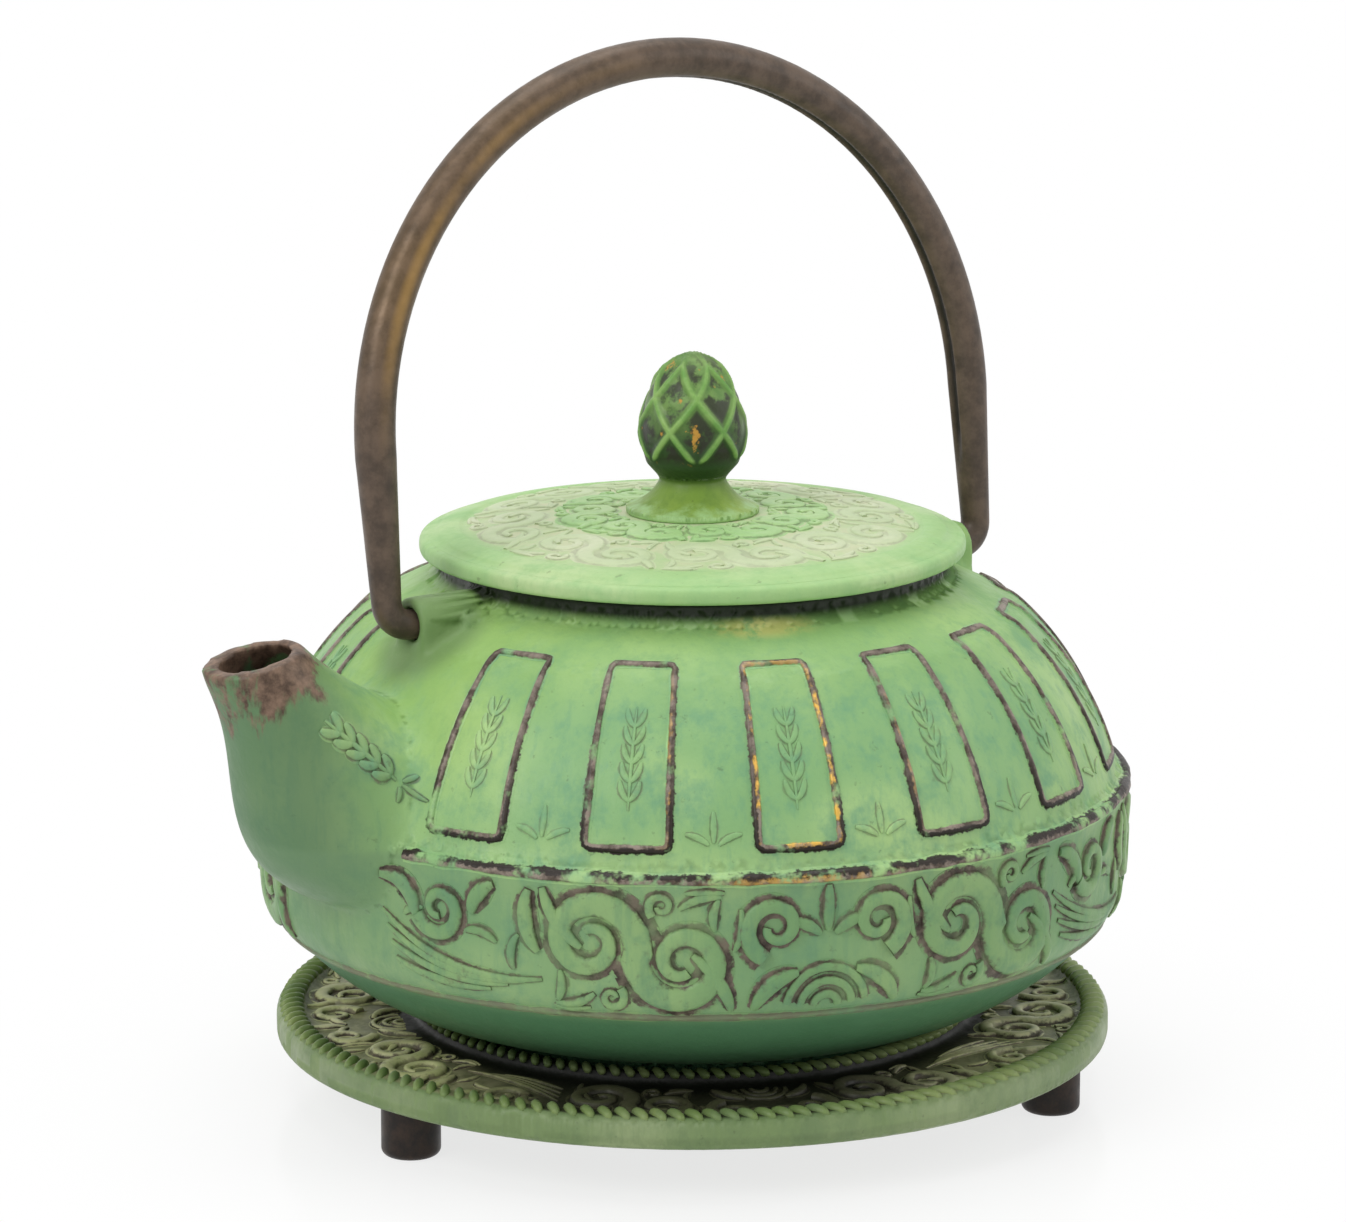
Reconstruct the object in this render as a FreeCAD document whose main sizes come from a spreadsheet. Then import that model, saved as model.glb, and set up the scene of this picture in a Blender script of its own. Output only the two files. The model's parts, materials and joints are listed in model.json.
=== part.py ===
import FreeCAD, Part
import math
import os
import re
import Sketcher
from FreeCAD import Placement, Rotation, Vector

# Cast iron teapot on its trivet: millimetres, +Z up, spout towards -X, floor at z = 0.

doc = FreeCAD.newDocument("teapot")
sheet = doc.addObject("Spreadsheet::Sheet", "Sizes")

SIZES = (
    # trivet
    ("trivet_radius", 79.2),
    ("trivet_edge", 1),
    ("plate_thickness", 4),
    ("rim_width", 5.5),
    ("rim_rise", 2),
    ("seat_ring_radius", 51.5),
    ("seat_ring_width", 3),
    ("seat_ring_rise", 2.5),
    ("trivet_foot_height", 10.2),
    ("trivet_foot_radius", 5.5),
    ("trivet_foot_edge", 1.5),
    ("trivet_foot_inset", 8.8),
    ("trivet_foot_angle", 188),
    ("stem_radius", 2.5),
    ("stem_length", 3),
    # pot
    ("wall", 4),
    ("foot_ring_radius", 46),
    ("foot_ring_width", 6),
    ("foot_ring_recess", 2),
    ("foot_ring_height", 3),
    ("bowl_arc", 50),
    ("knee_radius", 77.4),
    ("knee_height", 20),
    ("knee_arc", 9.7),
    ("band_base_radius", 81.2),
    ("band_base_height", 27),
    ("band_radius", 81.8),
    ("band_height", 45),
    ("ridge_rise", 0.5),
    ("ridge_width", 2),
    ("shoulder_base_radius", 79.9),
    ("shoulder_base_height", 48),
    ("shoulder_arc", 58.1),
    ("shoulder_radius", 61.5),
    ("shoulder_height", 78.5),
    ("neck_radius", 47.5),
    ("neck_height", 3.5),
    ("pot_height", 89),
    ("mouth_radius", 41),
    ("rebate_radius", 44),
    ("rebate_depth", 1.2),
    # spout: heights above the pot's foot, reaches from the pot's axis
    ("spout_wall", 3),
    ("spout_root_height", 34),
    ("spout_root_front", 84),
    ("spout_root_back", 36),
    ("spout_root_width", 44),
    ("spout_belly_height", 49),
    ("spout_belly_front", 97),
    ("spout_belly_back", 45),
    ("spout_belly_width", 43),
    ("spout_throat_height", 62),
    ("spout_throat_front", 99.5),
    ("spout_throat_back", 57),
    ("spout_throat_width", 34),
    ("spout_crook_height", 70.5),
    ("spout_crook_front", 101.8),
    ("spout_crook_back", 70),
    ("spout_crook_width", 26),
    ("spout_mouth_height", 80.6),
    ("spout_mouth_front", 105.2),
    ("spout_mouth_back", 87),
    ("spout_mouth_width", 17.6),
    ("spout_mouth_tilt", 13),
    # ears and bail
    ("ear_reach", 63),
    ("ear_width", 10),
    ("ear_root_drop", 7.5),
    ("eye_height", 82.5),
    ("eye_depth", 9),
    ("eye_clearance", 0.3),
    ("hook_rod", 5.6),
    ("hook_bend", 4.4),
    ("hook_end_gap", 1.5),
    ("bail_rod", 7.6),
    ("bail_leg", 31),
    ("bail_lean_angle", 6.5),
    # lid, knob and fastening
    ("lid_radius", 51.3),
    ("lid_edge", 1),
    ("lid_rim_thickness", 3.3),
    ("lid_height", 7.3),
    ("lid_dome_arc", 180),
    ("lid_wall", 4),
    ("lid_recess_fall", 1.3),
    ("skirt_depth", 5),
    ("skirt_width", 2.5),
    ("knob_base_radius", 12.5),
    ("knob_base_edge", 1.2),
    ("knob_flare_arc", 9),
    ("knob_neck_radius", 5.8),
    ("knob_neck_height", 7.3),
    ("knob_bud_radius", 10.3),
    ("knob_bud_height", 13.8),
    ("knob_bud_arc", 9),
    ("knob_crown_radius", 8.4),
    ("knob_crown_height", 20.5),
    ("knob_crown_arc", 13),
    ("knob_tip_radius", 4.6),
    ("knob_tip_rise", 3.4),
    ("knob_height", 30.3),
    ("stud_radius", 2.2),
    ("stud_end", 1),
    ("stud_clearance", 0.2),
    ("washer_radius", 6),
    ("washer_thickness", 0.8),
    ("nut_radius", 4.6),
    ("nut_height", 3.2),
    # infuser
    ("fit_clearance", 0.3),
    ("flange_thickness", 0.8),
    ("sheet_metal", 0.6),
    ("collar_depth", 5),
    ("basket_radius", 37.4),
    ("basket_depth", 40),
    ("hole_radius", 1.2),
    ("hole_columns", 16),
    ("hole_pitch", 7),
    ("hole_first_drop", 10),
)

for row, (alias, size) in enumerate(SIZES, start=1):
    sheet.set(f"A{row}", str(size))
    sheet.setAlias(f"A{row}", alias)
doc.recompute()

ALIASES = {alias for alias, size in SIZES}
probe = doc.addObject("App::FeaturePython", "Probe")
probe.addProperty("App::PropertyFloat", "Reading")


def formula(text):
    """The text with each size's name pointed at its cell."""
    return re.sub(r"[a-z]\w*", lambda m: "Sizes." + m.group() if m.group() in ALIASES else m.group(), text)


def reading(text):
    """The number that a formula gives now, for a first guess at a sketch's shape."""
    probe.setExpression("Reading", formula(text))
    probe.recompute()
    return probe.Reading


def bind(thing, **formulas):
    """Tie properties to sizes; a double underscore in a name stands for a dot."""
    for name, text in formulas.items():
        thing.setExpression(name.replace("__", "."), formula(text))


def make(kind, name, **formulas):
    thing = doc.addObject(kind, name)
    bind(thing, **formulas)
    return thing


def origin_of(body, role):
    return next(f for f in body.Origin.OriginFeatures if f.Role == role)


def arc_between(start, end, radius):
    """Counter-clockwise arc from start to end, the short way round."""
    half = (end - start) * 0.5
    rise = math.sqrt(max(radius ** 2 - half.Length ** 2, 0))
    centre = start + half + Vector(-half.y, half.x, 0).normalize() * rise
    turns = [math.atan2(p.y - centre.y, p.x - centre.x) for p in (start, end)]
    if turns[1] < turns[0]:
        turns[1] += 2 * math.pi
    return Part.ArcOfCircle(Part.Circle(centre, Vector(0, 0, 1), radius), *turns)


def fix_point(sketch, edge, end, across, up):
    """Hold one end of an edge at a radius and a height given as formulas."""
    for axis, text, line in (("DistanceX", across, -2), ("DistanceY", up, -1)):
        if text == "0":
            sketch.addConstraint(Sketcher.Constraint("PointOnObject", edge, end, line))
            continue
        index = sketch.addConstraint(Sketcher.Constraint(axis, edge, end, reading(text)))
        sketch.setExpression(f"Constraints[{index}]", formula(text))


DOME = "dome"


def outline(body, corners):
    """Closed sketch on the XZ plane through (radius, height) corners.

    A third entry makes the edge that leads to that corner an arc of that radius, swelling
    outwards; a minus sign before it makes the arc hollow. A dome is an arc whose centre is on
    the turning axis.
    """
    sketch = body.newObject("Sketcher::SketchObject", body.Name + "_outline")
    sketch.AttachmentSupport = [(origin_of(body, "XZ_Plane"), "")]
    sketch.MapMode = "FlatFace"
    places = [Vector(reading(c[0]), reading(c[1]), 0) for c in corners]
    ends = []
    for index, corner in enumerate(corners):
        start = places[index - 1]
        end = places[index]
        if len(corner) == 2:
            edge = sketch.addGeometry(Part.LineSegment(start, end))
            ends.append((edge, 1, 2))
            continue
        if corner[2] == DOME:
            rise = end.y - start.y
            radius = (start.x ** 2 + rise ** 2) / (2 * rise)
            edge = sketch.addGeometry(arc_between(start, end, radius))
            ends.append((edge, 1, 2))
            sketch.addConstraint(Sketcher.Constraint("PointOnObject", edge, 3, -2))
            continue
        radius = corner[2].lstrip("-")
        if corner[2].startswith("-"):
            edge = sketch.addGeometry(arc_between(end, start, reading(radius)))
            ends.append((edge, 2, 1))
        else:
            edge = sketch.addGeometry(arc_between(start, end, reading(radius)))
            ends.append((edge, 1, 2))
        held = sketch.addConstraint(Sketcher.Constraint("Radius", edge, reading(radius)))
        sketch.setExpression(f"Constraints[{held}]", formula(radius))
    for index, (edge, first, last) in enumerate(ends):
        next_edge, next_first, next_last = ends[(index + 1) % len(ends)]
        sketch.addConstraint(Sketcher.Constraint("Coincident", edge, last, next_edge, next_first))
        fix_point(sketch, edge, last, corners[index][0], corners[index][1])
    return sketch


def turned(name, corners):
    """Body made by turning an outline about its own Z axis."""
    body = doc.addObject("PartDesign::Body", name)
    sketch = outline(body, corners)
    turn = body.newObject("PartDesign::Revolution", name + "_turn")
    turn.Profile = sketch
    turn.ReferenceAxis = (origin_of(body, "Z_Axis"), [""])
    turn.Angle = 360
    return body


def place(piece, label, x="0", y="0", z="0"):
    piece.Label = label
    bind(piece, Placement__Base__x=x, Placement__Base__y=y, Placement__Base__z=z)
    return piece


# Where each piece stands: the box of the whole part is centred on the origin.
AXIS_X = "(spout_mouth_front - band_radius - ridge_rise) / 2"
PLATE_TOP = "trivet_foot_height + plate_thickness"
POT_TOP = PLATE_TOP + " + pot_height"
HINGE_Z = PLATE_TOP + " + eye_height"
KNOB_Z = POT_TOP + " + lid_height"
LID_UNDER_Z = KNOB_Z + " - lid_wall"
REBATE_Z = POT_TOP + " - rebate_depth"
SKIRT_RADIUS = "basket_radius - sheet_metal - fit_clearance"
STUD_LENGTH = "lid_wall + washer_thickness + nut_height + stud_end"
HOLE_ROWS = 4


def trivet_plate():
    body = turned("Plate", [
        ("0", "0"),
        ("trivet_radius - trivet_edge", "0"),
        ("trivet_radius", "trivet_edge"),
        ("trivet_radius", "plate_thickness + rim_rise - trivet_edge"),
        ("trivet_radius - trivet_edge", "plate_thickness + rim_rise"),
        ("trivet_radius - rim_width + trivet_edge", "plate_thickness + rim_rise"),
        ("trivet_radius - rim_width", "plate_thickness"),
        ("seat_ring_radius + seat_ring_width / 2", "plate_thickness"),
        ("seat_ring_radius + seat_ring_width / 4", "plate_thickness + seat_ring_rise"),
        ("seat_ring_radius - seat_ring_width / 4", "plate_thickness + seat_ring_rise"),
        ("seat_ring_radius - seat_ring_width / 2", "plate_thickness"),
        ("0", "plate_thickness"),
    ])
    sockets = []
    for index in range(3):
        socket = make("Part::Cylinder", f"Socket{index}", Radius="stem_radius", Height="stem_length")
        turn = f"(trivet_foot_angle + {index} * 120)"
        place(socket, f"socket_{index}", f"(trivet_radius - trivet_foot_inset) * cos({turn})",
              f"(trivet_radius - trivet_foot_inset) * sin({turn})")
        sockets.append(socket)
    return cut("TrivetPlate", body, sockets)


def trivet_foot(index):
    return turned(f"Foot{index}", [
        ("0", "0"),
        ("trivet_foot_radius - trivet_foot_edge", "0"),
        ("trivet_foot_radius", "trivet_foot_edge", "trivet_foot_edge"),
        ("trivet_foot_radius", "trivet_foot_height"),
        ("stem_radius", "trivet_foot_height"),
        ("stem_radius", "trivet_foot_height + stem_length"),
        ("0", "trivet_foot_height + stem_length"),
    ])


def fuse(name, pieces):
    whole = doc.addObject("Part::MultiFuse", name)
    whole.Shapes = pieces
    return whole


def cut(name, base, tools):
    result = doc.addObject("Part::Cut", name)
    result.Base = base
    result.Tool = tools[0] if len(tools) == 1 else fuse(name + "Tools", tools)
    return result


SPOUT_STEPS = ("root", "belly", "throat", "crook", "mouth")


def spout_loft(name, inset, first_lift, last_lift):
    """Loft of flat ovals up the spout, drawn in all round by the inset."""
    ovals = []
    for step in SPOUT_STEPS:
        size = f"spout_{step}_"
        half_length = f"(({size}front - {size}back) / 2 - {inset})"
        oval = make("Part::Ellipse", f"{name}_{step}", MajorRadius=half_length,
                    MinorRadius=f"{size}width / 2 - {inset}")
        lift = {SPOUT_STEPS[0]: first_lift, SPOUT_STEPS[-1]: last_lift}.get(step, "0")
        if step == SPOUT_STEPS[-1]:
            oval.Placement = Placement(Vector(), Rotation(Vector(0, -1, 0), reading("spout_mouth_tilt")))
            bind(oval, MajorRadius=half_length + " / cos(spout_mouth_tilt)",
                 Placement__Rotation__Angle="spout_mouth_tilt")
        place(oval, f"{name}_{step}", f"-({size}front + {size}back) / 2", "0", f"{size}height + {lift}")
        ovals.append(oval)
    loft = doc.addObject("Part::Loft", name)
    loft.Sections = ovals
    loft.Solid = True
    return loft


def ear_and_eye(side):
    """Loaf-shaped ear with a round top, and the hole for the bail's hook; side is 1 or -1."""
    tag = "Back" if side > 0 else "Spout"
    block = make("Part::Box", f"{tag}EarBlock", Length="ear_reach - mouth_radius", Width="ear_width",
                 Height="ear_root_drop")
    block_x = "mouth_radius" if side > 0 else "-ear_reach"
    place(block, f"{tag}_ear_block", block_x, "-ear_width / 2", "eye_height - ear_root_drop")
    crown = make("Part::Cylinder", f"{tag}EarCrown", Radius="ear_width / 2",
                 Height="ear_reach - mouth_radius")
    crown.Placement = Placement(Vector(), Rotation(Vector(0, 1, 0), 90))
    place(crown, f"{tag}_ear_crown", block_x, "0", "eye_height")
    eye = make("Part::Cylinder", f"{tag}Eye", Radius="hook_rod / 2 + eye_clearance", Height="eye_depth")
    eye.Placement = Placement(Vector(), Rotation(Vector(0, 1, 0), 90))
    eye_x = "ear_reach - eye_depth" if side > 0 else "-ear_reach"
    place(eye, f"{tag}_eye", eye_x, "0", "eye_height")
    return [block, crown], eye


def pot_body_and_spout():
    """Bowl with its ears, and the spout outside it: one casting, in two pieces that meet at the bowl."""
    shell = turned("Shell", [
        ("0", "foot_ring_recess"),
        ("foot_ring_radius - foot_ring_width", "foot_ring_recess"),
        ("foot_ring_radius - foot_ring_width", "0"),
        ("foot_ring_radius", "0"),
        ("foot_ring_radius", "foot_ring_height"),
        ("knee_radius", "knee_height", "bowl_arc"),
        ("band_base_radius", "band_base_height", "knee_arc"),
        ("band_radius", "band_height"),
        ("band_radius + ridge_rise", "band_height"),
        ("band_radius + ridge_rise", "band_height + ridge_width"),
        ("shoulder_base_radius", "shoulder_base_height"),
        ("shoulder_radius", "shoulder_height", "shoulder_arc"),
        ("neck_radius", "pot_height - neck_height"),
        ("neck_radius", "pot_height"),
        ("0", "pot_height"),
    ])
    cavity = turned("Cavity", [
        ("0", "foot_ring_recess + wall"),
        ("foot_ring_radius", "foot_ring_recess + wall"),
        ("knee_radius - wall", "knee_height + wall / 2", "bowl_arc - wall"),
        ("band_base_radius - wall", "band_base_height + wall / 2", "knee_arc"),
        ("band_radius - wall", "band_height"),
        ("shoulder_base_radius - wall", "shoulder_base_height"),
        ("shoulder_radius - wall", "shoulder_height - wall", "shoulder_arc - wall"),
        ("mouth_radius", "pot_height - neck_height - wall / 2"),
        ("mouth_radius", "pot_height - rebate_depth"),
        ("rebate_radius", "pot_height - rebate_depth"),
        ("rebate_radius", "pot_height + rebate_depth"),
        ("0", "pot_height + rebate_depth"),
    ])
    bore = spout_loft("SpoutBore", "spout_wall", "spout_wall", "spout_wall / 3")
    back_ear, back_eye = ear_and_eye(1)
    spout_ear, spout_eye = ear_and_eye(-1)
    casting = fuse("Casting", [shell] + back_ear + spout_ear)
    spout = spout_loft("SpoutForm", "0", "0", "0")
    return (cut("PotBody", casting, [cavity, bore, back_eye, spout_eye]),
            cut("PotSpout", spout, [shell, bore]))


def bail_handle():
    """Half-round arch, two tapered legs, and hooks that turn in towards the pot."""
    radius = "(ear_reach + hook_bend)"
    reach = "(eye_depth - hook_end_gap)"
    arch = make("Part::Torus", "Arch", Radius1=radius, Radius2="bail_rod / 2")
    arch.Angle3 = 180
    arch.Placement = Placement(Vector(), Rotation(Vector(1, 0, 0), 90))
    pieces = [place(arch, "arch", z="bail_leg")]
    for side in (1, -1):
        tag = "Back" if side > 0 else "Spout"
        leg = make("Part::Cone", f"{tag}Leg", Radius1="hook_rod / 2", Radius2="bail_rod / 2",
                   Height="bail_leg - hook_bend")
        pieces.append(place(leg, f"{tag}_leg", f"{side} * {radius}", "0", "hook_bend"))
        elbow = make("Part::Torus", f"{tag}Elbow", Radius1="hook_bend", Radius2="hook_rod / 2")
        elbow.Angle3 = 90
        half_turn = Rotation(Vector(0, 0, 1), 0 if side > 0 else 180)
        elbow.Placement = Placement(Vector(), half_turn * Rotation(Vector(1, 0, 0), -90))
        pieces.append(place(elbow, f"{tag}_elbow", f"{side} * ear_reach", "0", "hook_bend"))
        tip = make("Part::Cylinder", f"{tag}Tip", Radius="hook_rod / 2", Height=reach)
        tip.Placement = Placement(Vector(), Rotation(Vector(0, 1, 0), -90 * side))
        pieces.append(place(tip, f"{tag}_tip", f"{side} * ear_reach"))
    return fuse("Bail", pieces)


def lid():
    """Low dome with a rounded rim, and a skirt that drops into the infuser; foot of the skirt at 0."""
    under = "skirt_depth + lid_height - lid_wall"
    return turned("LidCasting", [
        ("stud_radius + stud_clearance", under),
        ("knob_base_radius", under),
        (SKIRT_RADIUS + " - skirt_width", under + " - lid_recess_fall"),
        (SKIRT_RADIUS + " - skirt_width", "0"),
        (SKIRT_RADIUS, "0"),
        (SKIRT_RADIUS, "skirt_depth"),
        ("lid_radius - lid_edge", "skirt_depth"),
        ("lid_radius", "skirt_depth + lid_edge", "lid_edge"),
        ("lid_radius", "skirt_depth + lid_rim_thickness - lid_edge"),
        ("lid_radius - lid_edge", "skirt_depth + lid_rim_thickness", "lid_edge"),
        ("knob_base_radius", "skirt_depth + lid_height", "lid_dome_arc"),
        ("stud_radius + stud_clearance", "skirt_depth + lid_height"),
    ])


def lid_knob():
    """Bud on a flared base, with the stud that passes down through the lid; end of the stud at 0."""
    return turned("Knob", [
        ("0", "0"),
        ("stud_radius", "0"),
        ("stud_radius", STUD_LENGTH),
        ("knob_base_radius", STUD_LENGTH),
        ("knob_base_radius", STUD_LENGTH + " + knob_base_edge"),
        ("knob_neck_radius", STUD_LENGTH + " + knob_neck_height", "-knob_flare_arc"),
        ("knob_bud_radius", STUD_LENGTH + " + knob_bud_height", "knob_bud_arc"),
        ("knob_crown_radius", STUD_LENGTH + " + knob_crown_height", "knob_crown_arc"),
        ("knob_tip_radius", STUD_LENGTH + " + knob_height - knob_tip_rise"),
        ("0", STUD_LENGTH + " + knob_height", DOME),
    ])


def knob_washer():
    return turned("Washer", [
        ("stud_radius + stud_clearance", "0"),
        ("washer_radius", "0"),
        ("washer_radius", "washer_thickness"),
        ("stud_radius + stud_clearance", "washer_thickness"),
    ])


def knob_nut():
    hexagon = make("Part::Prism", "NutHexagon", Circumradius="nut_radius", Height="nut_height")
    hexagon.Polygon = 6
    thread = make("Part::Cylinder", "NutThread", Radius="stud_radius", Height="nut_height")
    return cut("Nut", hexagon, [thread])


def infuser_rim():
    """Flange that lies in the pot's rebate, and the collar that holds the basket."""
    return turned("InfuserRim", [
        ("basket_radius", "0"),
        ("basket_radius + sheet_metal", "0"),
        ("basket_radius + sheet_metal", "collar_depth"),
        ("rebate_radius - fit_clearance", "collar_depth"),
        ("rebate_radius - fit_clearance", "collar_depth + flange_thickness"),
        ("basket_radius", "collar_depth + flange_thickness"),
    ])


def infuser_basket():
    """Thin cup with columns of small holes round its wall."""
    body = turned("InfuserBasket", [
        ("0", "0"),
        ("basket_radius", "0"),
        ("basket_radius", "basket_depth"),
        ("basket_radius - sheet_metal", "basket_depth"),
        ("basket_radius - sheet_metal", "sheet_metal"),
        ("0", "sheet_metal"),
    ])
    column = body.newObject("Sketcher::SketchObject", "HoleColumn")
    column.AttachmentSupport = [(origin_of(body, "YZ_Plane"), "")]
    column.MapMode = "FlatFace"
    for index in range(HOLE_ROWS):
        height = f"basket_depth - hole_first_drop - {index} * hole_pitch"
        start = Part.Circle(Vector(0, reading(height), 0), Vector(0, 0, 1), reading("hole_radius"))
        hole = column.addGeometry(start)
        column.addConstraint(Sketcher.Constraint("PointOnObject", hole, 3, -2))
        drop = column.addConstraint(Sketcher.Constraint("DistanceY", hole, 3, reading(height)))
        column.setExpression(f"Constraints[{drop}]", formula(height))
        bore = column.addConstraint(Sketcher.Constraint("Radius", hole, reading("hole_radius")))
        column.setExpression(f"Constraints[{bore}]", formula("hole_radius"))
    doc.recompute()
    whole = body.Shape.Volume
    pocket = body.newObject("PartDesign::Pocket", "Holes")
    pocket.Profile = column
    pocket.Midplane = True
    bind(pocket, Length="2 * (basket_radius + sheet_metal)")
    pattern = body.newObject("PartDesign::PolarPattern", "HolesRound")
    pattern.Originals = [pocket]
    pattern.Axis = (origin_of(body, "Z_Axis"), [""])
    pattern.Refine = False
    bind(pattern, Occurrences="hole_columns / 2", Angle="180 - 360 / hole_columns")
    body.Tip = pattern
    doc.recompute()
    print("basket: holes take", round(whole - body.Shape.Volume, 1), "mm3")
    return body


def assemble():
    """Every piece with its label and its place."""
    pieces = [place(trivet_plate(), "trivet_plate", AXIS_X, z="trivet_foot_height")]
    for index in range(3):
        turn = f"(trivet_foot_angle + {index} * 120)"
        pieces.append(place(trivet_foot(index), f"trivet_foot_{index + 1}",
                            f"{AXIS_X} + (trivet_radius - trivet_foot_inset) * cos({turn})",
                            f"(trivet_radius - trivet_foot_inset) * sin({turn})"))
    body, spout = pot_body_and_spout()
    pieces.append(place(body, "pot_body", AXIS_X, z=PLATE_TOP))
    pieces.append(place(spout, "pot_spout", AXIS_X, z=PLATE_TOP))
    bail = bail_handle()
    bail.Placement = Placement(Vector(), Rotation(Vector(-1, 0, 0), reading("bail_lean_angle")))
    bind(bail, Placement__Rotation__Angle="bail_lean_angle")
    pieces.append(place(bail, "bail_handle", AXIS_X, z=HINGE_Z))
    pieces.append(place(lid(), "lid", AXIS_X, z=POT_TOP + " - skirt_depth"))
    pieces.append(place(lid_knob(), "lid_knob", AXIS_X, z=f"{KNOB_Z} - ({STUD_LENGTH})"))
    pieces.append(place(knob_washer(), "knob_washer", AXIS_X, z=LID_UNDER_Z + " - washer_thickness"))
    pieces.append(place(knob_nut(), "knob_nut", AXIS_X,
                        z=LID_UNDER_Z + " - washer_thickness - nut_height"))
    pieces.append(place(infuser_rim(), "infuser_rim", AXIS_X, z=REBATE_Z + " - collar_depth"))
    pieces.append(place(infuser_basket(), "infuser_basket", AXIS_X,
                        z=REBATE_Z + " + flange_thickness - basket_depth"))
    return pieces


def check(pieces):
    """Stop before anything is written if any object failed or any piece isn't sound."""
    for thing in doc.Objects:
        if "Invalid" in thing.State or "Error" in thing.State:
            raise RuntimeError(f"{thing.Label} failed: {thing.State}")
    for piece in pieces:
        if piece.Shape.isNull() or not piece.Shape.isValid():
            raise RuntimeError(f"{piece.Label} has no sound shape")


pieces = assemble()
doc.recompute()
check(pieces)
os.makedirs("parts", exist_ok=True)
for piece in pieces:
    box = piece.Shape.BoundBox
    piece.Shape.exportStep(os.path.join("parts", piece.Label + ".step"))
    print(f"{piece.Label}: {len(piece.Shape.Solids)} solid, {piece.Shape.Volume / 1000:.2f} cm3, "
          f"x {box.XMin:.1f} to {box.XMax:.1f}, z {box.ZMin:.1f} to {box.ZMax:.1f}")
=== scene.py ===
# %% [markdown]
# # A green cast iron teapot
# The pot, its lid and its trivet are sand castings: soft edges, a grainy skin, a green patina and
# dark bronze where hands have rubbed the raised lines. The solids arrive as a fixed frame. This
# lesson softens them as casting does, lays carved ornament on them, and paints each finish.

# %% Load the frame
import json
import math

import bpy
import numpy as np
from mathutils import Matrix, Vector
from mathutils.bvhtree import BVHTree


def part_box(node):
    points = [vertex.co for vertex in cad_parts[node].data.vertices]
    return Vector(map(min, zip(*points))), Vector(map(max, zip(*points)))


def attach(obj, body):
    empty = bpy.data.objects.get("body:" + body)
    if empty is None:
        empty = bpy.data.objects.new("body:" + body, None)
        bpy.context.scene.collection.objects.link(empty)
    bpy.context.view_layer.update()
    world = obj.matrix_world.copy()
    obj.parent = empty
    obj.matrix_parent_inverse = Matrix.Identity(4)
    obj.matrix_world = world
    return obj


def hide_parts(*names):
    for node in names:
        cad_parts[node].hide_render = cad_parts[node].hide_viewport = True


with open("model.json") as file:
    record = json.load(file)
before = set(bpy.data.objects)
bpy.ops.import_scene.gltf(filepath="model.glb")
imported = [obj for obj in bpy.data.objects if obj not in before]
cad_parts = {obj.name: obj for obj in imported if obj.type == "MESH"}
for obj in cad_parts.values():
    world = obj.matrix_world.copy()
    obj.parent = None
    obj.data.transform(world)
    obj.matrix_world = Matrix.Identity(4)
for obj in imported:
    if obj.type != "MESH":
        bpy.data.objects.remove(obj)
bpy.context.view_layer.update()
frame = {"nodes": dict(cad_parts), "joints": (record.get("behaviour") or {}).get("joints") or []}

# %% [markdown]
# ## Measures
# Blender works in metres and a potter in millimetres, so one value turns one into the other. The
# pot's upright axis and the bail's hinge are read from the frame, so that they cannot drift away
# from the solids; the spout's side is given as a fixed angle.

# %% Measures
MM = 0.001
lid_low, lid_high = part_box("lid")
pot_low, pot_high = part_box("pot_body")
bail_low, bail_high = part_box("bail_handle")
trivet_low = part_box("trivet_plate")[0]
joints = {joint["name"]: joint for joint in frame["joints"]}

AXIS = Vector(((lid_low.x + lid_high.x) / 2, 0, 0))
SPOUT_ANGLE = math.pi
HINGE = Vector(joints["bail_swing"]["pos_m"])
print("axis at", round(AXIS.x / MM, 2), "mm, pot top at", round(pot_high.z / MM, 1), "mm")


def polar(radius, angle, height):
    """A point at a radius and an angle round the pot's axis."""
    return AXIS + Vector((radius * math.cos(angle), radius * math.sin(angle), height))


# %% [markdown]
# ## Picking and finishing objects
# An operator works on whatever is selected, so every step first deselects everything and picks one
# object. Modifiers are applied at once: the finished mesh then holds its own place and shape.

# %% Picking and finishing
WELD = 0.002 * MM


def pick(piece, *others):
    bpy.ops.object.select_all(action="DESELECT")
    for chosen in (piece, *others):
        chosen.select_set(True)
    bpy.context.view_layer.objects.active = piece


def new_piece(name, data):
    piece = bpy.data.objects.new(name, data)
    bpy.context.scene.collection.objects.link(piece)
    return piece


def join(name, pieces):
    """Make one piece of several, with doubles merged and faces pointing out."""
    pick(*pieces)
    bpy.ops.object.join()
    piece = bpy.context.view_layer.objects.active
    piece.name = piece.data.name = name
    bpy.ops.object.mode_set(mode="EDIT")
    bpy.ops.mesh.select_all(action="SELECT")
    bpy.ops.mesh.remove_doubles(threshold=WELD)
    bpy.ops.mesh.normals_make_consistent(inside=False)
    bpy.ops.object.mode_set(mode="OBJECT")
    return piece


def modify(piece, kind, **settings):
    """Add a modifier, set it up and apply it."""
    pick(piece)
    modifier = piece.modifiers.new(kind.title(), kind)
    for key, value in settings.items():
        setattr(modifier, key, value)
    bpy.ops.object.modifier_apply(modifier=modifier.name)


def dress(piece, body, slot, *materials):
    """Give a piece its finish and the body that it moves with. The slot is not used."""
    piece.data.materials.clear()
    for material in materials:
        piece.data.materials.append(material)
    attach(piece, body)
    print(piece.name, len(piece.data.polygons), "faces")


# %% [markdown]
# Vertices are easiest to measure and shape all at once, as an array with a row for each. A number
# can also be kept on every vertex under a name, for a finish to read later.

# %% Vertices as an array
def corners_of(piece):
    flat = np.empty(len(piece.data.vertices) * 3)
    piece.data.vertices.foreach_get("co", flat)
    return flat.reshape(-1, 3)


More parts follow.
